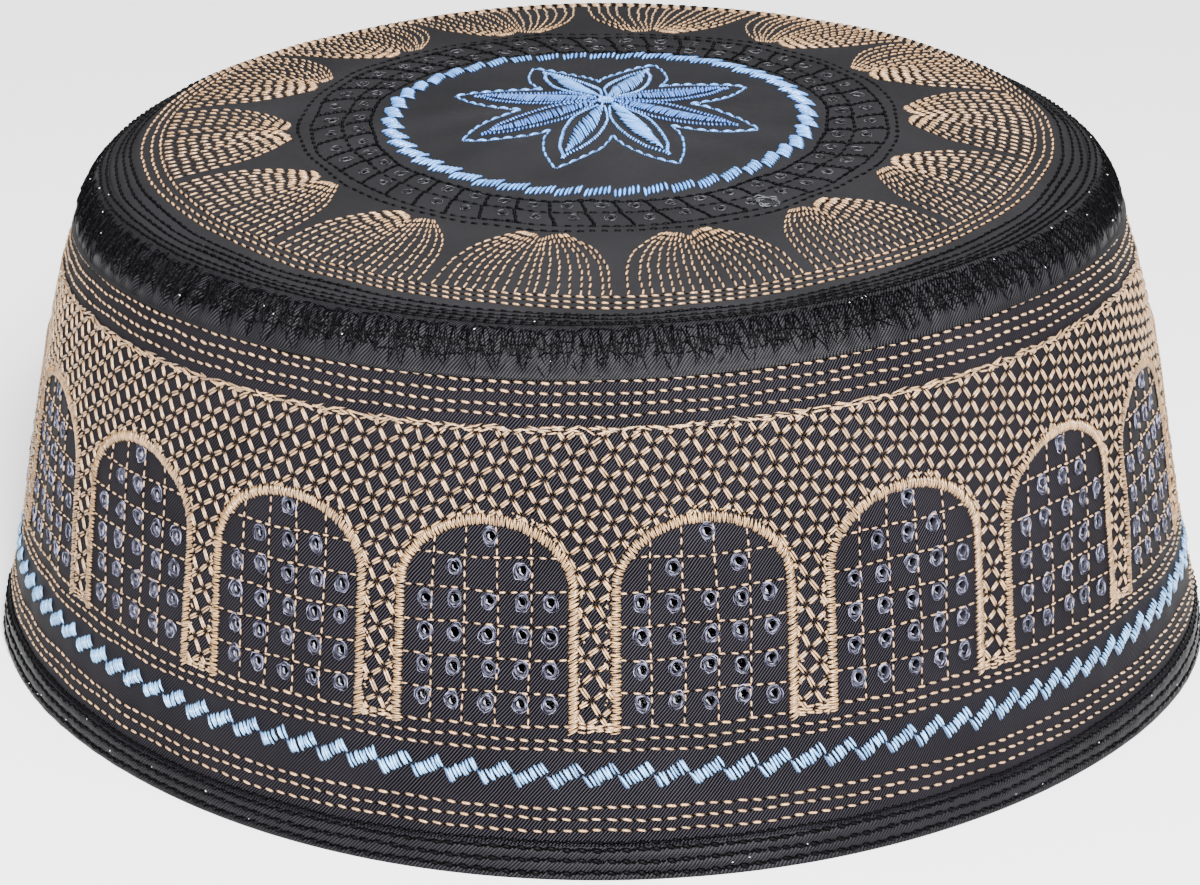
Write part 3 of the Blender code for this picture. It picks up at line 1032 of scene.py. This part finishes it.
def face_outwards(bm, up):
    """Turns an open shell's faces so that they face away from the cap's middle."""
    bm.normal_update()
    middle = Vector((0.0, 0.0, 0.02))
    votes = sum(face.normal.dot((face.calc_center_median() - middle) + up) for face in bm.faces[:50])
    if votes < 0.0:
        bmesh.ops.reverse_faces(bm, faces=bm.faces[:])


def finished(bm, name):
    """Mesh of a bmesh, which is freed."""
    mesh = bpy.data.meshes.new(name)
    bm.to_mesh(mesh)
    bm.free()
    return mesh


def walled(piece, wall):
    """Gives an open shell its thickness, with the second material inside."""
    solid = piece.modifiers.new("wall", "SOLIDIFY")
    solid.thickness = wall * MM
    solid.offset = -1.0
    solid.use_rim = True
    solid.material_offset = 1
    solid.material_offset_rim = 1


def eyelet_spots():
    """Flat centres of the side band's eyelets, a little uneven."""
    spots = []
    for centre in ARCH_CENTRES:
        near_front = abs(centre - FIRST_PIER) < ARCH_PITCH
        for row in range(6):
            columns = {4: (1, 3) if near_front else (1, 2, 3), 5: (2,)}.get(row, range(5))
            for column in columns:
                x = centre + EYELET_COLUMNS[column] - (UPPER_EYELET_SHIFT if row > 3 else 0.0)
                spots.append((x, EYELET_BASE + row * EYELET_ROW))
    spots = np.array(spots)
    return spots + jitter(EYELET_STRAY, *spots.shape)


EYELETS = eyelet_spots()


def side_band():
    """Side band cloth, pierced at every eyelet."""
    low, high = BAND_CLOTH_FOOT, BAND_HEIGHT + BAND_CLOTH_LAP
    rows = int(round((BAND_HEIGHT - low) / (ARCH_PITCH / ARCH_CELLS)))
    bm = bmesh.new()
    bmesh.ops.create_grid(bm, x_segments=ARCHES * ARCH_CELLS, y_segments=rows, size=1.0)
    for vertex in bm.verts:
        vertex.co.x = ROUND_START + (vertex.co.x + 1.0) / 2.0 * GIRTH
        vertex.co.y = low + (vertex.co.y + 1.0) / 2.0 * (high - low)
    spots = np.array([vertex.co[:2] for vertex in bm.verts])
    bm.verts.ensure_lookup_table()
    nearest = [bm.verts[int(np.argmin(((spots - spot) ** 2).sum(axis=1)))] for spot in EYELETS]
    collars = []
    for vertex in nearest:
        around = {corner for face in vertex.link_faces for corner in face.verts} - {vertex}
        ways = [(corner, corner.co - vertex.co) for corner in around]
        collars.append([(corner, math.atan2(way.y, way.x)) for corner, way in ways])
    bmesh.ops.dissolve_verts(bm, verts=nearest)
    patches = []
    for collar, (x, y) in zip(collars, EYELETS):
        for corner, angle in collar:
            corner.co.x = x + EYELET_RADIUS * math.cos(angle)
            corner.co.y = y + EYELET_TALL * EYELET_RADIUS * math.sin(angle)
        shared = set.intersection(*[set(corner.link_faces) for corner, _ in collar])
        patches.append(shared.pop())
    rim = EYELET_RADIUS - EYELET_HOLE
    bmesh.ops.inset_individual(bm, faces=patches, thickness=rim, depth=-EYELET_SINK)
    bmesh.ops.delete(bm, geom=patches, context="FACES")
    spots = places_of(bm)
    set_flat(bm, spots[:, :2])
    move_to(bm, on_band(spots[:, :2], -np.abs(spots[:, 2])))
    bmesh.ops.remove_doubles(bm, verts=bm.verts[:], dist=WELD)
    face_outwards(bm, Vector())
    piece = show("side_band_cloth", finished(bm, "side_band_cloth"), [BAND_CLOTH, INSIDE_CLOTH])
    walled(piece, BAND_CLOTH_WALL)
    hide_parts("side_band")


def turned(section, steps, closed):
    """Spins a section of (along, out) pairs; gives its corners' along, out and angle too."""
    hub, spread = 60.0, 4.0
    bm = bmesh.new()
    outlined(bm, [(0.0, -hub - spread * out, along) for along, out in section], closed)
    spin(bm, steps)
    x, y, along = places_of(bm).T
    return bm, along, (np.hypot(x, y) - hub) / spread, np.arctan2(x, -y)


def crown():
    """Crown cloth, its edge tucked under the seam roll."""
    fine, coarse = np.arange(SEAM_TOP_RADIUS, 70.0, -0.45), np.arange(70.0, 2.0, -1.25)
    radii = np.concatenate([fine, coarse])
    section = [(SEAM_END - 1.6, -0.9), (SEAM_END - 0.7, -0.55), (SEAM_END, -0.25)]
    section += [(float(along_at_radius(radius)), 0.0) for radius in radii[1:]]
    section += [(LENGTH - 1.0, 0.0), (LENGTH, 0.0)]
    bm, along, out, theta = turned(section, CROWN_STEPS, False)
    spots = polar(np.interp(along, PROFILE_ALONG, PROFILE[:, 0]), theta)
    set_flat(bm, spots)
    move_to(bm, skin(along, out + crown_relief(*spots.T), theta))
    bmesh.ops.remove_doubles(bm, verts=bm.verts[:], dist=WELD)
    face_outwards(bm, Vector((0.0, 0.0, 1.0)))
    piece = show("crown_cloth", finished(bm, "crown_cloth"), [CROWN_CLOTH, INSIDE_CLOTH])
    walled(piece, CROWN_WALL)
    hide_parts("crown")


def roll_form(name, section, steps, start, relief, material):
    """A closed ring of cloth, whose corners with an out of 1 take its relief."""
    bm, along, out, theta = turned(section, steps, True)
    x = np.interp(theta, GIRTH_THETA, GIRTH_ROUND)
    out = np.where(out > 0.9, relief(x, along - start), out)
    set_turned_flat(bm, x, along)
    move_to(bm, skin(along, out, theta))
    bmesh.ops.recalc_face_normals(bm, faces=bm.faces[:])
    return show(name, finished(bm, name), [material])


def seam_roll():
    """Gathered roll of black cloth, lapping over the band's top edge."""
    lip = BAND_END - 0.5
    outside = [(BAND_END + SEAM_SPAN * step, 1.0) for step in np.linspace(0.0, 1.0, 12)]
    back = [(SEAM_END + 0.1, -1.0), (BAND_END + SEAM_SPAN / 2.0, -1.0), (BAND_END + 0.4, -1.0)]
    section = [(lip, 0.45)] + outside + back + [(BAND_END + 0.3, -0.1), (lip, 0.08)]
    piece = roll_form("seam_roll_cloth", section, ROLL_STEPS, BAND_END, roll_relief, ROLL_CLOTH)
    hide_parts("crown_seam")


def hem_binding():
    """Folded hem, flat underneath and puffed between its rows of stitches."""
    edge = (BINDING_WALL - BINDING_FOOT) / 2.0
    inner = BINDING_BULGE - BINDING_WALL
    top = BINDING_HEIGHT + 0.1
    outside = [(place, 1.0) for place in np.linspace(0.3, BINDING_HEIGHT, 13)]
    inside = [(top, 0.05), (top, inner), (2.5, inner), (0.0, inner + edge)]
    section = [(0.0, BINDING_BULGE - edge)] + outside + inside
    piece = roll_form("hem_binding_cloth", section, BINDING_STEPS, 0.0, binding_relief, HEM_CLOTH)
    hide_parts("hem_binding")


# Embroidery on the side band


def running_lines():
    """Tan running stitches round the band, and the thin grids inside the arches."""
    tan, under = Stitches(), Stitches()
    for height in LOWER_LINES + MIDDLE_LINES + UPPER_LINES:
        running_line(tan, under, ring_path(height), BAND_RUN)
    for centre in ARCH_CENTRES:
        for offset in GRID_COLUMNS:
            reach = ARCH_SPRING + ARCH_RISE * math.sqrt(1.0 - (offset / ARCH_HALF_WIDTH) ** 2) - 1.2
            y = np.linspace(GRID_BASE, reach, 40)
            x = centre + offset + 0.25 * np.sin(0.16 * y + offset) + 0.01 * (y - 35.0) * np.sign(-offset)
            running_line(tan, under, np.column_stack([x, y]), GRID_UP_RUN)
        for row in range(1, GRID_ROWS + 1):
            y = GRID_BASE + row * GRID_ROW
            over = max(y - ARCH_SPRING, 0.0) / ARCH_RISE
            half = ARCH_HALF_WIDTH * math.sqrt(1.0 - over**2) - 1.4
            x = np.linspace(centre - half, centre + half, 40)
            path = np.column_stack([x, y + 0.15 * np.sin(0.35 * x + row)])
            running_line(tan, under, path, GRID_ACROSS_RUN)
    tan.sew("band_running_stitches", on_band, SHORT_STITCH, TAN_THREAD)
    under.sew("band_running_gaps", on_band, SUNK_THREAD, SHADOW_AND_GAP_THREAD)


def kept_sides(starts, ends):
    """Clips lattice sides to the ground between the arches, below the border."""
    shares = np.linspace(0.0, 1.0, 13)
    way = ends - starts
    spots = starts[:, None, :] + way[:, None, :] * shares[None, :, None]
    x, y = spots[..., 0], spots[..., 1]
    free = ~inside_arch(x, y, 0.5) & (y < LATTICE_TOP) & (y > GRID_BASE)
    first = shares[free.argmax(axis=1)]
    last = shares[len(shares) - 1 - free[:, ::-1].argmax(axis=1)]
    keep = free.any(axis=1) & (last - first > 0.2)
    return starts[keep] + way[keep] * first[keep, None], starts[keep] + way[keep] * last[keep, None]


def lattice():
    """Slanted net of paired chain stitches over wide painted shadow threads, which also darken its
    crossings.
    """
    across, down = LATTICE_STEPS
    side = GIRTH / math.hypot(across, down)
    lean = math.atan2(down, across)
    rising = side * np.array([math.cos(lean), math.sin(lean)])
    falling = side * np.array([math.sin(lean), -math.cos(lean)])
    i, j = np.meshgrid(LATTICE_COLUMNS, LATTICE_ROWS, indexing="ij")
    nodes = i[..., None] * rising + j[..., None] * falling
    nodes = nodes + np.array([ROUND_START - 3.0, GRID_BASE])
    nodes = nodes + jitter(LATTICE_STRAY, *nodes.shape)
    chain, under = Stitches(), Stitches()
    for starts, ends, (first, last, bright) in (
        (nodes[:-1, :], nodes[1:, :], RISING_CHAIN),
        (nodes[:, :-1], nodes[:, 1:], FALLING_CHAIN),
    ):
        starts, ends = starts.reshape(-1, 2), ends.reshape(-1, 2)
        x, y = ((starts + ends) / 2.0).T
        near = (x > ROUND_START) & (x <= ROUND_END) & (y > GRID_BASE - 2.0) & (y < LATTICE_TOP + 2.0)
        starts, ends = kept_sides(starts[near], ends[near])
        way = ends - starts
        begin, finish = starts + way * first, starts + way * last
        normal = beside(way)[0]
        count = len(way)
        under.lay(starts, ends, **CHAIN_SHADOW)
        for hand in (-1.0, 1.0):
            apart = hand * (CHAIN_APART + jitter(0.03, count))
            turn = jitter(0.06, count)
            start = begin + normal * (apart + turn)[:, None]
            end = finish + normal * (apart - turn)[:, None]
            chain.lay(start, end, bow=hand * CHAIN_BOW, tone=bright, **CHAIN)
    chain.sew("lattice_stitches", on_band, SHORT_STITCH, TAN_THREAD)
    under.sew("lattice_shadow_threads", on_band, SUNK_THREAD, SHADOW_AND_GAP_THREAD)


def arch_line(share, half, rise):
    """Points and outward directions along an arch's outline, foot to foot."""
    angle = np.linspace(0.0, math.pi, 200)
    bow = np.column_stack([-half * np.cos(angle), ARCH_SPRING + rise * np.sin(angle)])
    path = np.vstack([[-half, ARCH_FOOT], bow, [half, ARCH_FOOT]])
    run = distances(path)
    spots = points_at(share * run[-1], run, path)
    rising = np.clip((spots[:, 1] - ARCH_SPRING) / rise, 0.0, 1.0)
    normals = np.column_stack([spots[:, 0] / half**2, rising / rise])
    return spots, normals / np.linalg.norm(normals, axis=1)[:, None]


def lattice_border():
    """Tangled chain of tan stitches along the lattice's top edge and round the piers."""
    tangle = Stitches()
    for height, pitch, wide in BORDER_ROWS:
        count = int(round(GIRTH / pitch))
        x = places_round(count, 0.5)
        length = pitch * draws.uniform(0.7, 1.15, count)
        tilt = jitter(0.45, count)
        start = level(x, height - tilt, 0.2)
        end = level(x + length, height + tilt, 0.2)
        tangle.lay(start, end, size=wide, **BORDER_TANGLE)
    for centre in ARCH_CENTRES:
        share = draws.uniform(0.0, 1.0, ARCH_TUFTS)
        spots, normals = arch_line(share, ARCH_HALF_WIDTH + 0.15, ARCH_RISE + 0.15)
        way = np.column_stack([jitter(0.9, ARCH_TUFTS), jitter(0.9, ARCH_TUFTS)])
        spots = spots + (centre, 0.0) + normals * draws.uniform(-0.1, 0.55, ARCH_TUFTS)[:, None]
        tangle.lay(spots - way / 2, spots + way / 2, **ARCH_TUFT)
    half = ARCH_PITCH / 2.0 - ARCH_HALF_WIDTH + 0.4
    for middle in PIER_CENTRES:
        for height in PIER_FOOT_ROWS:
            x = np.linspace(middle - half, middle + half, 5)
            start = level(x[:-1], height, 0.25)
            tangle.lay(start, level(x[1:] + 0.2, height, 0.25), **PIER_TUFT)
    tangle.sew("border_tangle_stitches", on_band, SHORT_STITCH, TAN_THREAD)


def arch_cords():
    """Satin stitches across the outline of every arch."""
    cords = Stitches()
    reach = ARCH_CORD / 2.0
    half, rise = ARCH_HALF_WIDTH - reach, ARCH_RISE - reach
    length = 2.0 * (ARCH_SPRING - ARCH_FOOT) + math.pi * math.sqrt((half**2 + rise**2) / 2.0)
    count = int(round(length / ARCH_CORD_PITCH))
    zigzag = np.where(np.arange(count) % 2, CORD_SLANT, -CORD_SLANT)
    for centre in ARCH_CENTRES:
        share = (np.arange(count) + 0.5 + jitter(0.2, count)) / count
        spots, normals = arch_line(share, half, rise)
        tangents = np.column_stack([normals[:, 1], -normals[:, 0]])
        spots = spots + (centre, 0.0)
        slant = zigzag + jitter(0.07, count) - CORD_LEAN * np.maximum(normals[:, 0], 0.0)
        inner = reach + jitter(CORD_INNER_STRAY, count)
        outer = reach + jitter(CORD_OUTER_STRAY, count)
        start = spots - normals * inner[:, None] - tangents * slant[:, None]
        end = spots + normals * outer[:, None] + tangents * slant[:, None]
        cords.lay(start, end, **CORD)
    cords.sew("arch_satin_stitches", on_band, FINE_STITCH, SATIN_TAN_THREAD)


def zigzag_band():
    """Slanted blocks of light blue satin stitches round the band."""
    blocks = Stitches()
    pitch = GIRTH / ZIGZAG_BLOCKS
    step = np.arange(ZIGZAG_THREADS)[:, None] * ZIGZAG_STEP
    for block in range(ZIGZAG_BLOCKS):
        x = ROUND_START + (block + 0.5) * pitch - 2.6
        start = step + (x, ZIGZAG_HEIGHT - 0.1)
        end = start + ZIGZAG_REACH
        start = start + jitter(ZIGZAG_START_STRAY, *start.shape)
        end = end + jitter(ZIGZAG_END_STRAY, *end.shape)
        blocks.lay(start, end, **ZIGZAG)
        blocks.lay(start[:1] - (0.35, -0.2), end[:1] - (0.3, 0.1), **ZIGZAG_SHADOW)
    blocks.sew("blue_zigzag_stitches", on_band, FINE_STITCH, PALE_BLUE_THREAD)


# Eyelets


def ring_form(bm, steps):
    """Spins a section into a ring: radius, angle and out of its corners, and its faces."""
    spin(bm, steps)
    spots, faces = taken(bm)
    x, y, out = spots.T
    return np.column_stack([np.hypot(x, y), np.arctan2(y, x), out]), faces


def blank_collar():
    """A wound eyelet: a ring that turns down into its hole."""
    bm = bmesh.new()
    outlined(bm, [(radius, 0.0, out) for radius, out in COLLAR_SECTION], True)
    return ring_form(bm, 9)


def blank_loop():
    """A thin loop of thread."""
    bm = bmesh.new()
    bmesh.ops.create_circle(bm, segments=3, radius=0.062)
    for vertex in bm.verts:
        vertex.co = (1.0 + vertex.co.x, 0.0, vertex.co.y)
    return ring_form(bm, 11)


COLLAR = blank_collar()
LOOP = blank_loop()


def wound_rings(name, centres, form, place, material, size, tall, uneven, above, tones):
    """Copies of a ring form round flat centres, each pulled out of true."""
    spots, faces = form
    radius, angle, out = spots.T
    count = len(centres)
    phase = draws.uniform(0.0, TURN, (count, 3, 1))
    pull = uneven * (np.cos(2 * angle + phase[:, 0]) + 0.8 * np.cos(3 * angle + phase[:, 1]))
    pull = pull + 0.6 * uneven * np.cos(5 * angle + phase[:, 2])
    reach = size * (radius + pull) * draws.uniform(0.93, 1.07, (count, 1))
    x = centres[:, :1] + reach * np.cos(angle)
    y = centres[:, 1:] + tall * reach * np.sin(angle)
    out = above + out * np.where(out < -0.3, 1.0, size) + uneven * np.sin(angle * 2.0 + phase[:, 1])
    points = place(np.column_stack([x.ravel(), y.ravel()]), out.ravel())
    broken = 0.25 + 0.85 * np.sin(3 * angle + phase[:, 0]) + 0.75 * np.sin(5 * angle + phase[:, 1])
    tone = draws.uniform(*tones, (count, 1)) * np.clip(broken, 0.02, 1.4)
    values = {"tone": tone, "run": 2.5 * angle * np.ones_like(tone), "ply": radius * np.ones_like(tone)}
    return joined(name, points.reshape(count, -1, 3), faces, values, material)


def band_eyelets():
    """Lilac-grey thread wound loosely round the side band's eyelets, with painted shade on the collars
    and painted light on each hole's lower wall.
    """
    wound_rings("eyelet_collars", EYELETS, COLLAR, on_band, LILAC_THREAD, **SHADED_COLLAR_RING)
    for number, kind in enumerate(THREAD_LOOPS, 1):
        moved = EYELETS + jitter(0.13, *EYELETS.shape)
        wound_rings(f"eyelet_thread_loops_{number}", moved, LOOP, on_band, LILAC_THREAD, **kind)
    walls = Stitches()
    for start, end, thread in EYELET_WALL_THREADS:
        walls.lay(EYELETS + start, EYELETS + end, **thread, **EYELET_WALL)
    walls.sew("eyelet_wall_threads", on_band, PLAIN_STITCH, LIT_LILAC_THREAD)


# Embroidery on the crown


def ring_of(radius, wobble=0.1):
    """Flat path round the crown."""
    theta = np.linspace(0.0, TURN, 900)
    return polar(radius + wobble * np.sin(9 * theta + radius) + 0.6 * wobble * np.sin(23 * theta), theta)


def fan_line(share, axis):
    """Flat path of one line of a shell fan, from its notched top out to the tan rings."""
    top = FAN_PIVOT - FAN_SHOULDER * (1.0 - math.exp(-abs(share) / 0.2))
    t = np.linspace(0.0, 1.0, 60)
    spread = 0.30 + 0.66 * (1.0 - (1.0 - t) ** (1.8 + 1.9 * abs(share)))
    return polar(between(top, FAN_FOOT, t), axis + share * FAN_HALF * spread)


def tan_crown_stitches():
    """Shell fans and the three rings that close them."""
    tan, under = Stitches(), Stitches()
    for radius in TAN_RINGS:
        running_line(tan, under, ring_of(radius), TAN_RING_RUN)
    for fan in range(FANS):
        axis = FIRST_FAN + TURN * fan / FANS
        for share in np.linspace(-1.0, 1.0, FAN_LINES):
            path = fan_line(share + float(jitter(0.02, 1)[0]), axis)
            path = path + 0.07 * np.sin(np.linspace(0.0, 19.0, 60) + 40.0 * share)[:, None]
            running_line(tan, under, path, FAN_RUN)
    tan.sew("crown_tan_stitches", on_crown, SHORT_STITCH, FAN_THREAD)
    under.sew("crown_tan_gaps", on_crown, SUNK_THREAD, SHADOW_AND_GAP_THREAD)


def black_crown_stitches():
    """Black rings and the slanted grid round the flower."""
    black, under = Stitches(), Stitches()
    for radius in BLACK_RINGS + GRID_RINGS:
        running_line(black, under, ring_of(radius, 0.2), BLACK_RING_RUN)
    for cell in range(GRID_CELLS):
        theta = TURN * (cell + 0.5) / GRID_CELLS
        for inner, outer, lean in zip(GRID_RINGS, GRID_RINGS[1:], GRID_LEANS):
            line = polar(np.array([inner, outer]), theta + np.array([-lean, lean]) * 0.5)
            running_line(black, under, line, BLACK_CELL_RUN)
            theta = theta + lean
    black.sew("crown_black_stitches", on_crown, SHORT_STITCH, BLACK_THREAD)
    under.sew("crown_black_gaps", on_crown, SUNK_THREAD, BLACK_THREAD)


def crown_eyelets():
    """Two rows of small eyelets in the black grid, and one that came out large, their thread drawn grey
    as painted sheen, each small one with a painted shadow for its hole.
    """
    grey = (LOOP, on_crown, GLINT_GREY_THREAD)
    theta = TURN * np.arange(GRID_CELLS) / GRID_CELLS
    centres = np.vstack([polar(radius, theta + turn) for radius, turn in CROWN_EYELETS])
    centres = centres + jitter(0.25, *centres.shape)
    wound_rings("crown_eyelet_loops_1", centres, *grey, **CROWN_OUTER_LOOP)
    moved = centres + jitter(0.15, *centres.shape)
    wound_rings("crown_eyelet_loops_2", moved, *grey, **CROWN_INNER_LOOP)
    large = polar(*LARGE_EYELET) + jitter(0.5, 7, 2)
    wound_rings("crown_large_eyelet", large, *grey, **LARGE_LOOP)
    # Painted shadow in place of each small eyelet's hole
    hole_shadows = Stitches()
    hole_shadows.lay(centres - (0.42, 0.0), centres + (0.42, 0.0), **EYELET_HOLE_SHADOW)
    hole_shadows.sew("crown_eyelet_hole_shadows", on_crown, SHORT_STITCH, BLACK_THREAD)


def blue_ring():
    """Ring of slanted blue satin blocks round the flower."""
    blocks = Stitches()
    place = np.arange(RING_THREADS) - RING_THREADS / 2.0
    arc, middle = place * RING_STEP[0], RING_RADIUS - place * RING_STEP[1]
    for block in range(RING_BLOCKS):
        theta = TURN * block / RING_BLOCKS
        outer = polar(middle + RING_HALF, theta + (arc - 0.15) / RING_RADIUS)
        inner = polar(middle - RING_HALF, theta + (arc + 0.3) / RING_RADIUS)
        blocks.lay(outer, inner, **RING_SATIN)
    blocks.sew("blue_ring_stitches", on_crown, FINE_STITCH, BLUE_THREAD)


def leaf_half(u):
    """Half width of a petal's leaf at a distance from the flower's middle."""
    share = np.clip((u - LEAF_START) / (LEAF_END - LEAF_START), 0.0, 1.0)
    return LEAF_HALF * np.sin(math.pi * share**0.95) ** 1.15


def petal_spots(axis, u, v):
    """Flat crown points from places along and beside a petal's axis."""
    forward = np.array([math.sin(axis), -math.cos(axis)])
    sideways = np.array([math.cos(axis), math.sin(axis)])
    return u[:, None] * forward + v[:, None] * sideways + FLOWER_CENTRE


def leaf_stitches(axis, lay_angle):
    """Ends of the satin stitches that fill a leaf, crossing it at an angle."""
    forward, sideways = math.cos(lay_angle), math.sin(lay_angle)
    middle = np.arange(LEAF_START + 0.6, LEAF_END - 0.2, LEAF_PITCH / sideways)
    ends = []
    for hand in (-1.0, 1.0):
        far = leaf_half(middle) / sideways
        for _ in range(12):
            far = 0.5 * far + 0.5 * leaf_half(middle + hand * far * forward) / sideways
        ends.append(petal_spots(axis, middle + hand * far * forward, hand * far * sideways))
    return ends


def petal_outline(axis, hand):
    """Flat path from a petal's notch to its tip, on one side of its axis."""
    t = np.linspace(0.0, 1.0, 40)[:, None]
    notch = NOTCH_RADIUS * np.array([math.cos(math.pi / PETALS), math.sin(math.pi / PETALS)])
    edge = (1 - t) ** 2 * notch + 2 * t * (1 - t) * np.array(PETAL_BEND) + t**2 * (PETAL_TIP, 0.0)
    return petal_spots(axis, edge[:, 0], hand * edge[:, 1])


def flower():
    """Eight-petalled flower: satin leaves, side veins and a stitched outline."""
    bright, shaded_side_petals = Stitches(), Stitches()
    for petal in range(PETALS):
        axis = FIRST_PETAL + TURN * petal / PETALS
        # Side petals take the darker copy of the blue: painted shade for the sheen their threads lose
        facing = abs(math.cos(axis)) > 0.6
        thread = bright if facing else shaded_side_petals
        lay_angle = LEAF_ANGLE if facing else SIDE_LEAF_ANGLE
        thread.lay(*leaf_stitches(axis, lay_angle), **LEAF_SATIN)
        for hand in (-1.0, 1.0):
            u = np.arange(LEAF_START + 1.6, LEAF_END + 1.5, VEIN_PITCH)
            off = hand * (leaf_half(u) + 1.15 * eased(u / 9.0) * eased((LEAF_END + 1.8 - u) / 5.0))
            spots = petal_spots(axis, u, off)
            across = petal_spots(axis, u + VEIN_HALF[0], off + hand * VEIN_HALF[1]) - spots
            thread.lay(spots - across, spots + across, **VEIN)
            running_line(bright, bright, petal_outline(axis, hand), PETAL_RUN)
    theta = TURN * np.arange(SPOKES) / SPOKES
    bright.lay(FLOWER_CENTRE + 0.2 * polar(1.0, theta), FLOWER_CENTRE + polar(1.5, theta + 0.35), **SPOKE)
    bright.sew("flower_pale_stitches", on_crown, FINE_STITCH, BLUE_THREAD)
    shaded_side_petals.sew("flower_shaded_blue_stitches", on_crown, FINE_STITCH, SHADED_BLUE_THREAD)


# Black stitching on the seam roll and the hem


def roll_stitches():
    """Loose overlock loops that crowd the lower part of the seam roll, and two rows above."""
    loops = Stitches()
    for step, low, high, stray in OVERLOCK_ROWS:
        count = 2 * int(round(GIRTH / step / 2.0))
        share = np.where(np.arange(count) % 2, high, low)
        x = places_round(count, stray)
        y = SEAM_SPAN * share + jitter(1.1, count) * np.where(share == low, 1.0, 0.4)
        turns = np.column_stack([x, y])
        nexts = np.vstack([turns[1:], turns[:1] + (GIRTH, 0.0)])
        loops.lay(turns, nexts, **OVERLOCK)
    for share in TANGLE_SHARES:
        x = places_round(int(round(GIRTH / TANGLE_PITCH)), 0.5)
        start = level(x, SEAM_SPAN * share, 0.6)
        loops.lay(start, level(x + TANGLE_PITCH, SEAM_SPAN * share, 0.6), **ROLL_TANGLE)
    loops.sew("seam_roll_stitches", on_roll, PLAIN_STITCH, BLACK_THREAD)
    plain, gaps = Stitches(), Stitches()
    for share in ROLL_ROW_SHARES:
        running_line(plain, gaps, round_path(SEAM_SPAN * share, 17, 9.0 * share), ROLL_RUN)
    plain.sew("seam_roll_rows", on_roll, SHORT_STITCH, BLACK_THREAD)
    gaps.sew("seam_roll_row_gaps", on_roll, SUNK_THREAD, BLACK_THREAD)


def hem_stitches():
    """Rows of black stitches through the hem binding and just above it."""
    rows, under = Stitches(), Stitches()
    for height in HEM_ROWS:
        running_line(rows, under, round_path(height, 21, height), HEM_RUN)
    rows.sew("hem_stitches", on_binding, SHORT_STITCH, BLACK_THREAD)
    under.sew("hem_stitch_gaps", on_binding, SUNK_THREAD, BLACK_THREAD)
    join_row, join_gaps = Stitches(), Stitches()
    running_line(join_row, join_gaps, ring_path(HEM_JOIN_HEIGHT, 0.08), HEM_JOIN_RUN)
    join_row.sew("hem_join_stitches", on_band, SHORT_STITCH, BLACK_THREAD)
    join_gaps.sew("hem_join_gaps", on_band, SUNK_THREAD, BLACK_THREAD)


def lint():
    """A few white specks of lint on the black cloth."""
    for name, place, count, low, high in (
        ("seam_roll_lint", on_roll, 45, 1.5, SEAM_SPAN - 0.5),
        ("hem_lint", on_binding, 60, 0.8, BINDING_HEIGHT - 0.4),
    ):
        specks = Stitches()
        x = draws.uniform(ROUND_START, ROUND_END, count)
        start = np.column_stack([x, draws.uniform(low, high, count)])
        specks.lay(start, start + jitter(0.32, count, 2), **LINT_SPECK)
        specks.sew(name, place, PLAIN_STITCH, LINT_WHITE)


# Floor, light and camera


def floor():
    """Plain pale floor."""
    bm = bmesh.new()
    bmesh.ops.create_grid(bm, x_segments=4, y_segments=4, size=FLOOR_HALF)
    mesh = finished(bm, "floor")
    material, tree, shader = new_material("pale_floor", 0.9, 0.2)
    shaded = tuple(FLOOR_SHADE * value for value in FLOOR)
    paint = mixed(tree, noise(tree, object_spots(tree), 3.0), FLOOR, shaded)
    tree.links.new(paint, shader.inputs["Base Color"])
    mesh.materials.append(material)
    piece = put("floor", mesh)


def aimed(name, data, place, target):
    """Puts a lamp or a camera in the scene, aimed at a point."""
    made = put(name, data)
    made.location = place
    made.rotation_mode = "QUATERNION"
    made.rotation_quaternion = (target - place).to_track_quat("-Z", "Y")
    return made


def light_and_camera():
    """Soft studio light and the photograph's view."""
    world = bpy.data.worlds.new("studio")
    world.use_nodes = True
    sky = world.node_tree.nodes["Background"]
    sky.inputs["Color"].default_value = (1.0, 1.0, 1.0, 1.0)
    sky.inputs["Strength"].default_value = SKY_STRENGTH
    bpy.context.scene.world = world
    for name, place, target, size, energy in LAMPS:
        lamp = bpy.data.lights.new(name, "AREA")
        lamp.shape = "SQUARE"
        lamp.size = size
        lamp.energy = energy
        aimed(name, lamp, Vector(place), Vector(target))
    lens = bpy.data.cameras.new("camera")
    lens.sensor_width = CAMERA_SENSOR
    lens.lens = CAMERA_LENS
    lens.clip_start, lens.clip_end = 0.05, 20.0
    camera = aimed("camera", lens, Vector(CAMERA_PLACE) * MM, Vector(CAMERA_TARGET) * MM)
    bpy.context.scene.camera = camera


light_and_camera()
floor()
side_band()
crown()
seam_roll()
hem_binding()
running_lines()
lattice()
lattice_border()
arch_cords()
zigzag_band()
band_eyelets()
tan_crown_stitches()
black_crown_stitches()
crown_eyelets()
blue_ring()
flower()
roll_stitches()
hem_stitches()
lint()
